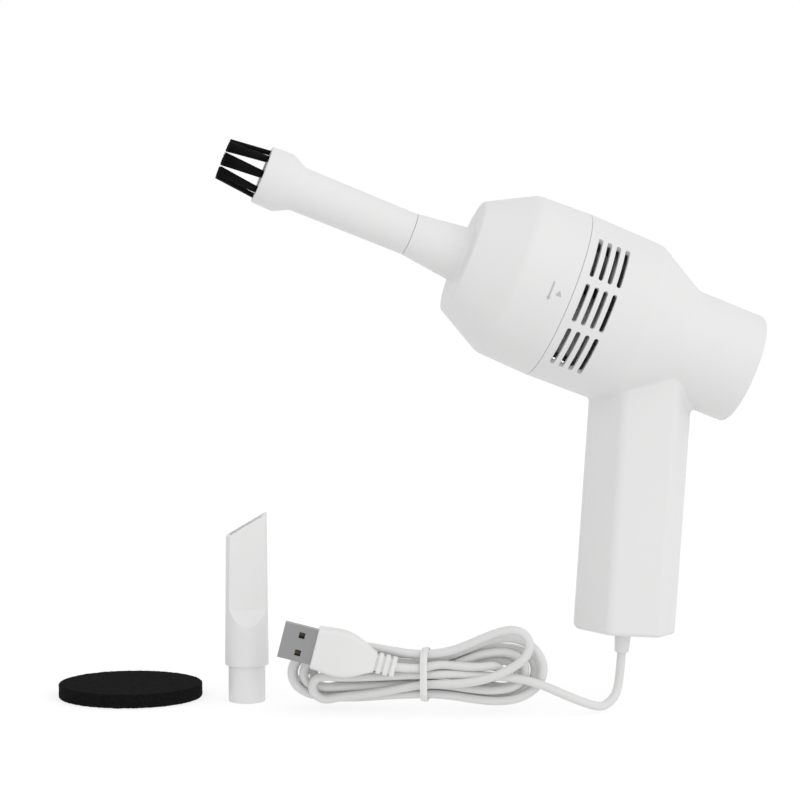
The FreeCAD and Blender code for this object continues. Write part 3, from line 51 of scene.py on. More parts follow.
# Shared numbers
SAME_PLACE = 1e-6  # metres: vertices nearer than this are one
FACING = 0.9  # a face looks along an axis from this cosine on
FULL = (0.0, 1.0)  # the whole range of a share
NOISE = (0.3, 0.7)  # where most of a noise's values lie
UNTINTED = (1.0, 1.0, 1.0, 1.0)  # the colour of the light

# Places that the machine's parts share, as in the CAD frame
BARREL_TILT = math.radians(22.0)
SEAM = Vector((-0.0253, 0.0, 0.0784))
BARREL_TURN = Matrix.Translation(SEAM) @ Matrix.Rotation(BARREL_TILT, 4, "Y")
SURFACE = -0.0625

# Foam discs: their thickness, and their radii and places
FOAM_THICKNESS = 0.005
SPARE_FOAM_RADIUS = 0.025
SPARE_FOAM_PLACE = Matrix.Translation((-0.1686, 0.0398, SURFACE + FOAM_THICKNESS / 2))
FITTED_FOAM_RADIUS = 0.0248
FITTED_FOAM_ALONG = -0.01105
FITTED_FOAM_PLACE = (BARREL_TURN @ Matrix.Translation((FITTED_FOAM_ALONG, 0, 0))
                     @ Matrix.Rotation(math.pi / 2, 4, "Y"))


class Body(Enum):
    """The bodies of the frame that new pieces ride on."""

    HOUSING = "housing"
    CUP = "dust_cup"
    BRUSH = "brush"
    SPARE_FOAM = "spare_foam"


# Modelling helpers


class Pick(Enum):
    """What is picked in edit mode."""

    FACE = "FACE"
    EDGE = "EDGE"


def deselect_all() -> None:
    """Leaves object mode with nothing selected."""
    if bpy.context.object and bpy.context.object.mode != "OBJECT":
        bpy.ops.object.mode_set(mode="OBJECT")
    bpy.ops.object.select_all(action="DESELECT")


def make_active(piece: bpy.types.Object) -> None:
    """Selects one object alone and makes it active.

    Args:
        piece: The object.
    """
    deselect_all()
    piece.select_set(True)
    bpy.context.view_layer.objects.active = piece


def named_primitive(name: str) -> bpy.types.Object:
    """Names the primitive that was just added, and its mesh.

    Args:
        name: The piece's name.

    Returns:
        The new object.
    """
    piece = bpy.context.object
    piece.name = name
    piece.data.name = name
    return piece


def settle(piece: bpy.types.Object, place: Matrix | None = None) -> bpy.types.Object:
    """Puts an object's place into its mesh, so that the object stands at the origin.

    Args:
        piece: The finished mesh object.
        place: A further placement of the mesh, if any.

    Returns:
        The same object.
    """
    bpy.context.view_layer.update()
    world = piece.matrix_world.copy()
    piece.data.transform(place @ world if place else world)
    piece.matrix_world = Matrix.Identity(4)
    return piece


def apply_modifier(piece: bpy.types.Object, kind: str, **settings: object) -> None:
    """Adds a modifier, sets it and applies it.

    Args:
        piece: The mesh object.
        kind: The modifier's type.
        **settings: Values for its properties.
    """
    make_active(piece)
    modifier = piece.modifiers.new(kind.title(), kind)
    for key, value in settings.items():
        setattr(modifier, key, value)
    bpy.ops.object.modifier_apply(modifier=modifier.name)


def select_where(piece: bpy.types.Object, pick: Pick, wanted: Callable[..., bool]) -> None:
    """Enters edit mode with the wanted faces or edges selected.

    Args:
        piece: The mesh object.
        pick: Which of the two.
        wanted: Says of one of them whether it is selected.
    """
    make_active(piece)
    bpy.ops.object.mode_set(mode="EDIT")
    bpy.ops.mesh.select_mode(type=pick.value)
    bpy.ops.mesh.select_all(action="DESELECT")
    mesh = bmesh.from_edit_mesh(piece.data)
    for part in mesh.faces if pick is Pick.FACE else mesh.edges:
        part.select_set(bool(wanted(part)))
    mesh.select_flush_mode()
    bmesh.update_edit_mesh(piece.data)


def span(edge: bmesh.types.BMEdge) -> Vector:
    """How far an edge reaches along each axis."""
    start, end = (corner.co for corner in edge.verts)
    return Vector(abs(part) for part in start - end)


def leave_edit() -> None:
    """Goes back to object mode."""
    bpy.ops.object.mode_set(mode="OBJECT")


def smooth(piece: bpy.types.Object, angle: float = math.radians(35)) -> None:
    """Shades a piece smooth, with creases sharper than an angle kept.

    Args:
        piece: The mesh object.
        angle: The crease angle in radians.
    """
    make_active(piece)
    bpy.ops.object.shade_smooth_by_angle(angle=angle)


def outward(piece: bpy.types.Object) -> None:
    """Merges doubles and turns all faces outwards.

    Args:
        piece: The mesh object.
    """
    make_active(piece)
    bpy.ops.object.mode_set(mode="EDIT")
    bpy.ops.mesh.select_all(action="SELECT")
    bpy.ops.mesh.remove_doubles(threshold=SAME_PLACE)
    bpy.ops.mesh.normals_make_consistent(inside=False)
    leave_edit()


def joined(pieces: Sequence[bpy.types.Object], name: str) -> bpy.types.Object:
    """Joins several mesh objects into one.

    Args:
        pieces: The objects, the first of which stays.
        name: The joined object's name.

    Returns:
        The joined object.
    """
    deselect_all()
    for piece in pieces:
        piece.select_set(True)
    bpy.context.view_layer.objects.active = pieces[0]
    if len(pieces) > 1:
        bpy.ops.object.join()
    return named_primitive(name)


def copied(piece: bpy.types.Object, place: Matrix) -> bpy.types.Object:
    """A copy of a piece with its own mesh, placed by a matrix.

    Args:
        piece: The model piece, settled at the origin.
        place: Where the copy goes.

    Returns:
        The copy.
    """
    copy = piece.copy()
    copy.data = piece.data.copy()
    bpy.context.scene.collection.objects.link(copy)
    copy.data.transform(place)
    return copy


# Finishes


Value = bpy.types.NodeSocket | float


class Tree:
    """A shader tree, written from left to right."""

    def __init__(self, owner: bpy.types.Material | bpy.types.World) -> None:
        """Starts with the owner's own nodes.

        Args:
            owner: The material or world that the tree belongs to.
        """
        owner.use_nodes = True
        self.tree = owner.node_tree

    def add(self, kind: str, **settings: object) -> bpy.types.Node:
        """Adds a node and sets its properties.

        Args:
            kind: The node's type.
            **settings: Values for its properties.

        Returns:
            The new node.
        """
        node = self.tree.nodes.new(kind)
        for key, value in settings.items():
            setattr(node, key, value)
        return node

    def wire(self, output: bpy.types.NodeSocket, socket: bpy.types.NodeSocket) -> None:
        """Links an output to an input."""
        self.tree.links.new(output, socket)

    def calc(self, operation: str, first: Value, second: Value = 0.0) -> bpy.types.NodeSocket:
        """A sum on values.

        Args:
            operation: The Math node's operation.
            first: The first value, a socket or a number.
            second: The second one.

        Returns:
            The result.
        """
        node = self.add("ShaderNodeMath", operation=operation)
        for socket, value in zip(node.inputs, (first, second)):
            if isinstance(value, bpy.types.NodeSocket):
                self.wire(value, socket)
            else:
                socket.default_value = value
        return node.outputs[0]

    def seen_rays(self, *kinds: str) -> bpy.types.NodeSocket:
        """1 for rays of the given kinds, 0 for all others.

        Args:
            *kinds: Outputs of the Light Path node.

        Returns:
            The share.
        """
        path = self.add("ShaderNodeLightPath")
        share = path.outputs[kinds[0]]
        for kind in kinds[1:]:
            share = self.calc("MAXIMUM", share, path.outputs[kind])
        return share

    def mixed(self, share: bpy.types.NodeSocket, low: bpy.types.NodeSocket,
              high: bpy.types.NodeSocket) -> bpy.types.NodeSocket:
        """Mixes two shaders by a share.

        Args:
            share: 0 for the first shader, 1 for the second.
            low: The first shader.
            high: The second shader.

        Returns:
            The mixed shader.
        """
        node = self.add("ShaderNodeMixShader")
        for socket, value in zip(node.inputs, (share, low, high)):
            self.wire(value, socket)
        return node.outputs[0]


class Graph(Tree):
    """A material's tree round one Principled shader."""

    def __init__(self, name: str) -> None:
        """Starts the material.

        Args:
            name: The material's name.
        """
        self.material = bpy.data.materials.new(name)
        super().__init__(self.material)
        self.shader = self.tree.nodes["Principled BSDF"]
        self.place = self.add("ShaderNodeTexCoord").outputs["Object"]

    def noise(self, scale: float, detail: float = 2.0, rough: float = 0.5) -> bpy.types.NodeSocket:
        """A noise over the surface.

        Args:
            scale: Cells per metre.
            detail: Octaves.
            rough: Share of the finer octaves.

        Returns:
            The noise's value, about 0.5.
        """
        node = self.add("ShaderNodeTexNoise")
        node.inputs["Scale"].default_value = scale
        node.inputs["Detail"].default_value = detail
        node.inputs["Roughness"].default_value = rough
        self.wire(self.place, node.inputs["Vector"])
        return node.outputs["Fac"]

    def cells(self, scale: float) -> bpy.types.NodeSocket:
        """A pattern of cells over the surface, as the distance from each cell's middle.

        Args:
            scale: Cells per metre.

        Returns:
            The distance.
        """
        node = self.add("ShaderNodeTexVoronoi", feature="F1")
        node.inputs["Scale"].default_value = scale
        self.wire(self.place, node.inputs["Vector"])
        return node.outputs["Distance"]

    def spread(self, value: bpy.types.NodeSocket, source: tuple[float, float],
               target: tuple[float, float]) -> bpy.types.NodeSocket:
        """Maps a value from one range to another.

        Args:
            value: The value.
            source: The range that it comes in.
            target: The range that it leaves in.

        Returns:
            The mapped value.
        """
        node = self.add("ShaderNodeMapRange")
        node.inputs["From Min"].default_value, node.inputs["From Max"].default_value = source
        node.inputs["To Min"].default_value, node.inputs["To Max"].default_value = target
        self.wire(value, node.inputs["Value"])
        return node.outputs["Result"]

    def blend(self, share: bpy.types.NodeSocket, low: Colour, high: Colour) -> bpy.types.NodeSocket:
        """Mixes two colours by a share.

        Args:
            share: 0 for the first colour, 1 for the second.
            low: The first colour.
            high: The second colour.

        Returns:
            The mixed colour.
        """
        node = self.add("ShaderNodeMix", data_type="RGBA")
        node.inputs["A"].default_value = (*low, 1.0)
        node.inputs["B"].default_value = (*high, 1.0)
        self.wire(share, node.inputs["Factor"])
        return node.outputs["Result"]

    def relief(self, height: bpy.types.NodeSocket, depth: float, strength: float = 1.0,
               below: bpy.types.NodeSocket | None = None) -> bpy.types.NodeSocket:
        """A bump from a height.

        Args:
            height: The height's value, from 0 to 1.
            depth: The height's real size in metres.
            strength: How much of it shows.
            below: A bump that this one lies on, if any.

        Returns:
            The bumped normal.
        """
        node = self.add("ShaderNodeBump")
        node.inputs["Distance"].default_value = depth
        node.inputs["Strength"].default_value = strength
        self.wire(height, node.inputs["Height"])
        if below:
            self.wire(below, node.inputs["Normal"])
        return node.outputs["Normal"]


def toned(colour: Colour, factor: float) -> Colour:
    """A colour made lighter or darker by a factor."""
    return tuple(min(1.0, part * factor) for part in colour)


@dataclass(frozen=True)
class Finish:
    """A finish with a slight drift of tone, an uneven gloss and a fine grain.

    Attributes:
        name: The material's name.
        colour: Its mean colour, linear.
        rough: Its mean roughness.
        metal: 1 for bare metal.
        drift: How far the tone drifts either way.
        drift_scale: Drift cells per metre.
        grain_scale: Grain cells per metre.
        grain_depth: The grain's depth in metres.
        gloss_spread: How far the roughness varies either way.
        gloss_size: How many grains wide the gloss's patches are.
        level: Specular level.
    """

    name: str
    colour: Colour
    rough: float = 0.4
    metal: float = 0.0
    drift: float = 0.02
    drift_scale: float = 45.0
    grain_scale: float = 2600.0
    grain_depth: float = 0.000008
    gloss_spread: float = 0.05
    gloss_size: float = 8.0
    level: float = 0.5

    def material(self) -> bpy.types.Material:
        """Builds the material.

        Returns:
            The material.
        """
        graph = Graph(self.name)
        drift = graph.noise(self.drift_scale, detail=3.0)
        shade = graph.blend(graph.spread(drift, NOISE, FULL),
                            toned(self.colour, 1 - self.drift), toned(self.colour, 1 + self.drift))
        graph.wire(shade, graph.shader.inputs["Base Color"])
        patches = graph.noise(self.grain_scale / self.gloss_size, detail=3.0)
        gloss = graph.spread(patches, NOISE,
                             (self.rough - self.gloss_spread, self.rough + self.gloss_spread))
        graph.wire(gloss, graph.shader.inputs["Roughness"])
        graph.wire(self.surface(graph), graph.shader.inputs["Normal"])
        graph.shader.inputs["Metallic"].default_value = self.metal
        graph.shader.inputs["Specular IOR Level"].default_value = self.level
        self.extra(graph)
        return graph.material

    def surface(self, graph: Graph) -> bpy.types.NodeSocket:
        """The finish's relief.

        Args:
            graph: The material's tree.

        Returns:
            The bumped normal.
        """
        return graph.relief(graph.noise(self.grain_scale), self.grain_depth)

    def extra(self, graph: Graph) -> None:
        """What a finish adds on top; nothing for a plain one."""


@dataclass(frozen=True)
class Foam(Finish):
    """Open-cell foam: pores with painted shade on their floors, and fine fuzz.

    Attributes:
        pore_scale: Pores per metre.
        pore_depth: Their depth in metres.
        pore_slope: Where a pore's slope starts and ends, as distances from its middle.
        pore_shade: Where its painted shade starts and ends, in the same way.
        painted_pore_shade_tones: The painted shade of its floor and the lighter tone of its wall,
            as shares of the colour.
    """

    pore_scale: float = 1900.0
    pore_depth: float = 0.00028
    pore_slope: tuple[float, float] = (0.1, 0.6)
    pore_shade: tuple[float, float] = (0.05, 0.5)
    painted_pore_shade_tones: tuple[float, float] = (0.35, 1.5)

    def surface(self, graph: Graph) -> bpy.types.NodeSocket:
        """Pores over fine fuzz.

        Args:
            graph: The material's tree.

        Returns:
            The bumped normal.
        """
        fuzz = graph.noise(self.grain_scale, detail=4.0, rough=0.7)
        fine = graph.relief(fuzz, self.grain_depth)
        pores = graph.spread(graph.cells(self.pore_scale), self.pore_slope, FULL)
        return graph.relief(pores, self.pore_depth, strength=0.7, below=fine)

    def extra(self, graph: Graph) -> None:
        """Paints shade on the pores' floors.

        Args:
            graph: The material's tree.
        """
        # Painted shade: the pores' floors are darkened and their walls lightened in the base
        # colour.
        pores = graph.spread(graph.cells(self.pore_scale), self.pore_shade, FULL)
        floor, wall = (toned(self.colour, tone) for tone in self.painted_pore_shade_tones)
        shade = graph.blend(pores, floor, wall)
        graph.wire(shade, graph.shader.inputs["Base Color"])


@dataclass(frozen=True)
class Brushed(Finish):
    """Rolled or plated sheet, with fine lines along one axis.

    Attributes:
        line_scale: Lines per metre.
        stretch: The pattern's scale along each axis, small along the lines.
        line_detail: Octaves of the lines.
    """

    line_scale: float = 3500.0
    stretch: Point = (0.04, 1.0, 1.0)
    line_detail: float = 3.0

    def surface(self, graph: Graph) -> bpy.types.NodeSocket:
        """Lines along the sheet.

        Args:
            graph: The material's tree.

        Returns:
            The bumped normal.
        """
        mapping = graph.add("ShaderNodeMapping")
        mapping.inputs["Scale"].default_value = self.stretch
        graph.wire(graph.place, mapping.inputs["Vector"])
        lines = graph.add("ShaderNodeTexNoise")
        lines.inputs["Scale"].default_value = self.line_scale
        lines.inputs["Detail"].default_value = self.line_detail
        graph.wire(mapping.outputs["Vector"], lines.inputs["Vector"])
        return graph.relief(lines.outputs["Fac"], self.grain_depth, strength=0.6)


@dataclass(frozen=True)
class Soft(Finish):
    """Soft translucent moulding, such as a cable's jacket.

    Attributes:
        glow: The share of light that travels under the surface.
        reach: How far red, green and blue travel, in metres.
    """

    glow: float = 0.12
    reach: Colour = (0.0008, 0.0008, 0.0007)

    def extra(self, graph: Graph) -> None:
        """Lets light travel a little way under the surface.

        Args:
            graph: The material's tree.
        """
        graph.shader.inputs["Subsurface Weight"].default_value = self.glow
        graph.shader.inputs["Subsurface Radius"].default_value = self.reach
        graph.shader.inputs["Subsurface Scale"].default_value = 1.0


class Finishes:
    """The object's finishes, each built once when it is first asked for."""

    WHITE = Finish("satin_white", (0.80, 0.80, 0.797), 0.42, drift=0.008, drift_scale=30.0,
                   level=0.4)
    KNOB = Finish("knob_white", (0.74, 0.74, 0.735), 0.5, drift=0.012, grain_depth=0.00002)
    GREY = Finish("grey_plastic", (0.30, 0.31, 0.32), 0.45)
    BLACK = Finish("black_plastic", (0.018, 0.018, 0.02), 0.35)
    NYLON = Finish("fan_nylon", (0.62, 0.62, 0.61), 0.5)
    FOAM = Foam("black_foam", (0.0065, 0.0065, 0.0068), 0.9, grain_scale=5200.0,
                grain_depth=0.00006, gloss_spread=0.04, level=0.03)
    BRISTLE = Finish("black_bristle", (0.003, 0.003, 0.0033), 0.5, drift=0.25,
                     drift_scale=900.0, level=0.12)
    SEAL = Finish("seal_silicone", (0.60, 0.60, 0.59), 0.6, grain_depth=0.00002)
    SCREW = Brushed("screw_zinc", (0.62, 0.63, 0.65), 0.32, 1.0, grain_depth=0.000006)
    CAN = Brushed("can_steel", (0.60, 0.61, 0.63), 0.3, 1.0, grain_depth=0.000006)
    CORE = Brushed("core_steel", (0.22, 0.22, 0.24), 0.42, 1.0, grain_depth=0.00002,
                   stretch=(14.0, 0.3, 0.3))
    MAGNET = Finish("magnet_ferrite", (0.035, 0.035, 0.038), 0.7, grain_depth=0.00003)
    BRASS = Finish("brass_tab", (0.72, 0.50, 0.20), 0.28, 1.0)
    BRONZE = Finish("bush_bronze", (0.42, 0.27, 0.12), 0.45, 1.0)
    JACKET = Soft("cord_jacket", (0.745, 0.745, 0.74), 0.45, drift=0.01, level=0.4)
    RELIEF = Soft("relief_rubber", (0.78, 0.78, 0.775), 0.5, drift=0.01, level=0.4)
    PLUG = Soft("plug_overmould", (0.80, 0.80, 0.795), 0.38, drift=0.006, level=0.45)
    LEAD_RED = Finish("lead_red", (0.45, 0.015, 0.012), 0.4)
    LEAD_BLACK = Finish("lead_black", (0.012, 0.012, 0.012), 0.4)
    PLUG_STEEL = Brushed("plug_nickel", (0.31, 0.31, 0.315), 0.36, 1.0, grain_depth=0.000005)
    # Painted shade: the contacts' gold is darkened to stand for the shade inside the plug's shell.
    SHADED_GOLD = Finish("contact_gold", (0.13, 0.10, 0.05), 0.5, 1.0)
    NOZZLE = Soft("thin_white", (0.81, 0.81, 0.807), 0.42, drift=0.008, drift_scale=30.0,
                  level=0.4, glow=0.25)
    TIE = Finish("tie_plastic", (0.80, 0.80, 0.795), 0.45, drift=0.01, grain_depth=0.00002)
    MARK = Finish("grey_print", (0.50, 0.50, 0.50), 0.55, drift=0.05, drift_scale=400.0)

    def __init__(self) -> None:
        """Starts with no material built."""
        self.built: dict[str, bpy.types.Material] = {}

    def of(self, finish: Finish) -> bpy.types.Material:
        """The material of a finish.

        Args:
            finish: One of the finishes above.

        Returns:
            Its material.
        """
        if finish.name not in self.built:
            self.built[finish.name] = finish.material()
        return self.built[finish.name]

    def dress(self, piece: bpy.types.Object, finish: Finish) -> None:
        """Gives a piece one finish all over.

        Args:
            piece: A mesh or curve object.
            finish: Its finish.
        """
        material = self.of(finish)
        if piece.material_slots:
            for slot in piece.material_slots:
                slot.material = material
        else:
            piece.data.materials.append(material)


NODE_FINISHES: dict[str, Finish] = {
    "housing_near_half": Finishes.WHITE,
    "housing_far_half": Finishes.WHITE,
    "housing_screws": Finishes.SCREW,
    "dust_cup": Finishes.WHITE,
    "cup_seal": Finishes.SEAL,
    "filter_frame": Finishes.GREY,
    "fan_inlet_plate": Finishes.GREY,
    "fan_impeller": Finishes.NYLON,
    "motor_plate": Finishes.GREY,
    "motor_can": Finishes.CAN,
    "motor_screws": Finishes.SCREW,
    "motor_end_cap": Finishes.BLACK,
    "motor_terminals": Finishes.BRASS,
    "motor_bushes": Finishes.BRONZE,
    "motor_magnets": Finishes.MAGNET,
    "motor_armature": Finishes.CORE,
    "motor_shaft": Finishes.SCREW,
    "switch_body": Finishes.BLACK,
    "switch_knob": Finishes.KNOB,
    "brush_nozzle": Finishes.WHITE,
    "crevice_nozzle": Finishes.NOZZLE,
    "strain_relief": Finishes.RELIEF,
    "cord_inside": Finishes.JACKET,
    "cord_clamp": Finishes.GREY,
    "clamp_screws": Finishes.SCREW,
    "lead_supply": Finishes.LEAD_RED,
    "lead_switched": Finishes.LEAD_RED,
    "lead_return": Finishes.LEAD_BLACK,
    "plug_overmould": Finishes.PLUG,
    "plug_shell": Finishes.PLUG_STEEL,
    "plug_tongue": Finishes.BLACK,
    "plug_contacts": Finishes.SHADED_GOLD,
}


@dataclass
class CadNodes:
    """The rigid pieces that the CAD gives, dressed and shaded smooth where they are round.

    Attributes:
        crease: Faces that meet at more than this angle keep their edge.
        merge: Vertices nearer than this are one, in metres.
    """

    crease: float = math.radians(28)
    merge: float = SAME_PLACE

    def dress(self, finishes: Finishes) -> None:
        """Gives each node its finish.

        Args:
            finishes: The object's finishes.
        """
        for name, finish in NODE_FINISHES.items():
            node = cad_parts[name]
            finishes.dress(node, finish)
            self.shade(node)
            log.info("dressed %s", name)

    def shade(self, node: bpy.types.Object) -> None:
        """Shades a node smooth between its creases, with modifiers that leave its mesh alone.

        Args:
            node: A CAD node.
        """
        for face in node.data.polygons:
            face.use_smooth = True
        weld = node.modifiers.new("Weld", "WELD")
        weld.merge_threshold = self.merge
        split = node.modifiers.new("Creases", "EDGE_SPLIT")
        split.split_angle = self.crease


# The lead


@dataclass
class Lead:
    """The USB lead outside the machine: a free stretch, and a tied hank.

    Attributes:
        diameter: The jacket's diameter.
        exit: Where it leaves the strain relief.
        length: The lead's real length from the strain relief to the plug.
        order: The spline's order.
        steps: Rings between two points.
        rounding: How finely its section is divided.
        route: The points after the exit, in millimetres, round the hank's six turns to the
            plug's tail. They were set on the strands in view, and then smoothed so that no
            bend is under a diameter.
    """

    diameter: float = 0.0030
    exit: Point = (-0.00282, 0.0, -0.04361)
    length: float = 1.18
    order: int = 3
    steps: int = 6
    rounding: int = 5
    route: tuple[Point, ...] = (
        (-3.6, -1.6, -51.1), (-5.4, -4.8, -57.3), (-9.2, -6.7, -60.3), (-12.6, -10.3, -60.1),
        (-18.1, -14.6, -57.9), (-25.3, -14.8, -54.8), (-32.1, -13.4, -51.8), (-39.3, -12.0, -49.8),
        (-46.8, -10.4, -49.1), (-54.2, -8.6, -49.1), (-61.6, -7.1, -48.7), (-69.1, -5.5, -49.0),
        (-76.5, -3.9, -49.3), (-84.0, -2.4, -49.8), (-91.4, -0.9, -50.2), (-98.8, 0.7, -50.5),
        (-103.7, 1.3, -50.0), (-107.0, 2.5, -51.1), (-108.2, 4.1, -54.4), (-106.4, 5.1, -57.7),
        (-102.9, 5.0, -58.9), (-98.9, 4.0, -57.7), (-92.1, 2.1, -56.8), (-84.9, -0.3, -55.6),
        (-77.9, -2.7, -53.8), (-70.8, -5.2, -52.3), (-63.7, -7.8, -51.9), (-56.6, -10.5, -51.2),
        (-49.6, -12.8, -49.4), (-42.7, -14.4, -46.1), (-38.1, -15.4, -42.3), (-36.4, -15.7, -38.4),
        (-37.8, -15.5, -34.5), (-41.5, -14.6, -32.8), (-46.4, -13.1, -33.6), (-53.1, -10.9, -36.7),
        (-59.6, -8.7, -39.9), (-66.6, -6.5, -41.9), (-73.9, -4.3, -42.3), (-81.1, -1.9, -41.4),
        (-88.3, 0.3, -40.3), (-95.6, 2.4, -39.6), (-102.9, 4.5, -40.0), (-110.0, 6.3, -42.3),
        (-114.3, 7.4, -46.4), (-114.8, 7.9, -51.7), (-111.4, 8.2, -56.2), (-104.7, 8.2, -58.3),
        (-97.0, 6.9, -58.4), (-89.8, 4.9, -58.0), (-82.6, 2.4, -57.1), (-75.6, -0.4, -56.4),
        (-68.3, -2.7, -56.0), (-60.9, -4.2, -56.5), (-53.5, -5.6, -57.7), (-46.0, -7.1, -58.3),
        (-38.6, -8.8, -57.1), (-32.5, -10.1, -52.7), (-30.7, -10.5, -45.8), (-34.3, -9.6, -39.3),
        (-41.4, -8.1, -36.3), (-48.8, -6.6, -37.4), (-55.7, -5.2, -40.2), (-62.5, -3.7, -43.3),
        (-69.6, -2.1, -45.7), (-77.1, -0.4, -45.8), (-84.4, 1.4, -44.4), (-91.7, 3.1, -43.4),
        (-99.3, 4.5, -43.3), (-105.9, 5.7, -44.5), (-109.6, 6.3, -46.3), (-111.0, 6.9, -49.8),
        (-109.5, 7.3, -53.4), (-105.9, 7.2, -54.7), (-100.3, 6.3, -54.9), (-92.6, 4.6, -54.5),
        (-85.4, 2.6, -54.0), (-78.1, 0.5, -53.3), (-70.8, -1.8, -52.6), (-63.5, -3.7, -52.9),
        (-56.1, -5.1, -54.0), (-48.6, -6.6, -54.7), (-41.8, -8.0, -53.8), (-38.0, -8.9, -51.1),
        (-36.8, -9.1, -46.9), (-39.0, -8.7, -43.0), (-43.6, -7.7, -41.3), (-50.6, -6.2, -42.0),
        (-57.6, -4.8, -44.6), (-64.5, -3.4, -47.6), (-71.7, -1.4, -49.1), (-78.9, 1.3, -48.7),
        (-85.9, 3.9, -47.5), (-93.1, 6.0, -46.3), (-100.7, 7.6, -45.7), (-107.1, 9.0, -47.4),
        (-110.3, 9.9, -50.1), (-110.9, 10.8, -53.8), (-108.5, 11.4, -56.9), (-104.5, 11.3, -57.7),
        (-97.9, 10.2, -58.1), (-90.3, 8.5, -57.7), (-83.2, 6.0, -57.1), (-76.1, 3.2, -56.5),
        (-68.9, 0.9, -56.3), (-61.4, -0.7, -56.6), (-54.0, -2.2, -57.1), (-46.6, -3.8, -57.2),
        (-40.6, -5.1, -56.5), (-35.6, -6.2, -53.2), (-33.1, -6.7, -48.5), (-34.5, -6.3, -43.5),
        (-39.1, -5.4, -40.6), (-46.3, -3.9, -40.3), (-53.6, -2.3, -41.7), (-60.9, -0.8, -43.2),
        (-68.4, 0.8, -43.5), (-75.6, 3.2, -43.3), (-82.7, 5.9, -42.8), (-89.9, 8.3, -42.3),
        (-97.2, 10.3, -41.8), (-104.8, 11.9, -42.7), (-110.9, 13.0, -45.2), (-113.7, 13.8, -49.0),
        (-113.2, 14.5, -53.6), (-109.4, 14.9, -57.0), (-102.6, 14.0, -59.3), (-95.0, 12.8, -57.9),
        (-88.0, 10.5, -56.0), (-81.3, 7.4, -54.5), (-74.7, 3.7, -53.5), (-67.7, 0.6, -53.0),
        (-60.3, -1.0, -53.2), (-52.5, -2.4, -53.8), (-46.2, -3.8, -53.7), (-42.2, -4.6, -54.0),
        (-39.5, -5.2, -51.5), (-39.2, -5.3, -48.1), (-41.2, -4.9, -45.3), (-44.8, -4.2, -44.7),
        (-50.7, -2.9, -44.5), (-58.3, -1.4, -45.8), (-65.7, 0.2, -46.7), (-73.0, 2.3, -47.2),
        (-80.0, 5.1, -47.9), (-86.9, 8.2, -48.9), (-94.1, 11.2, -49.2), (-99.7, 12.8, -48.0),
        (-103.2, 13.5, -46.9), (-106.2, 14.5, -49.2), (-106.8, 15.2, -52.8), (-104.5, 15.5, -55.8),
        (-101.0, 15.1, -56.4), (-97.2, 13.4, -54.9), (-90.6, 10.8, -53.4), (-83.8, 7.7, -52.0),
        (-77.1, 4.4, -50.7), (-70.0, 1.5, -50.1), (-62.7, -0.5, -49.9), (-55.1, -2.1, -50.5),
        (-49.9, -2.8, -50.9), (-46.5, -3.8, -50.7), (-44.9, -6.6, -48.8), (-45.8, -9.0, -46.5),
        (-49.0, -10.5, -45.5), (-52.5, -9.6, -46.1), (-58.4, -8.3, -46.0), (-65.9, -6.0, -45.3),
        (-73.3, -7.5, -46.9), (-80.9, -7.4, -45.9),
    )

    def points(self) -> list[Vector]:
        """The route's points, from the strain relief to the plug.

        Returns:
            The points in the object's frame.
        """
        return [Vector(self.exit)] + [Vector(point) * MM for point in self.route]

    def build(self, finishes: Finishes, tie: bpy.types.Object) -> bpy.types.Object:
        """Args:
            finishes: The object's finishes.
            tie: The band round the hank. Not used.

        Returns:
            The lead.
        """
        curve = bpy.data.curves.new("lead", "CURVE")
        curve.dimensions = "3D"
        points = self.points()
        spline = curve.splines.new("NURBS")
        spline.points.add(len(points) - 1)
        for knot, point in zip(spline.points, points):
            knot.co = (*point, 1.0)
        spline.order_u = self.order
        spline.use_endpoint_u = True
        spline.resolution_u = self.steps
        curve.bevel_depth = self.diameter / 2
        curve.bevel_resolution = self.rounding
        curve.use_fill_caps = True
        lead = bpy.data.objects.new("lead", curve)
        bpy.context.scene.collection.objects.link(lead)
        finishes.dress(lead, Finishes.JACKET)
        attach(lead, Body.HOUSING.value)
        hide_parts("cord_free", "cord_hank")
        return lead


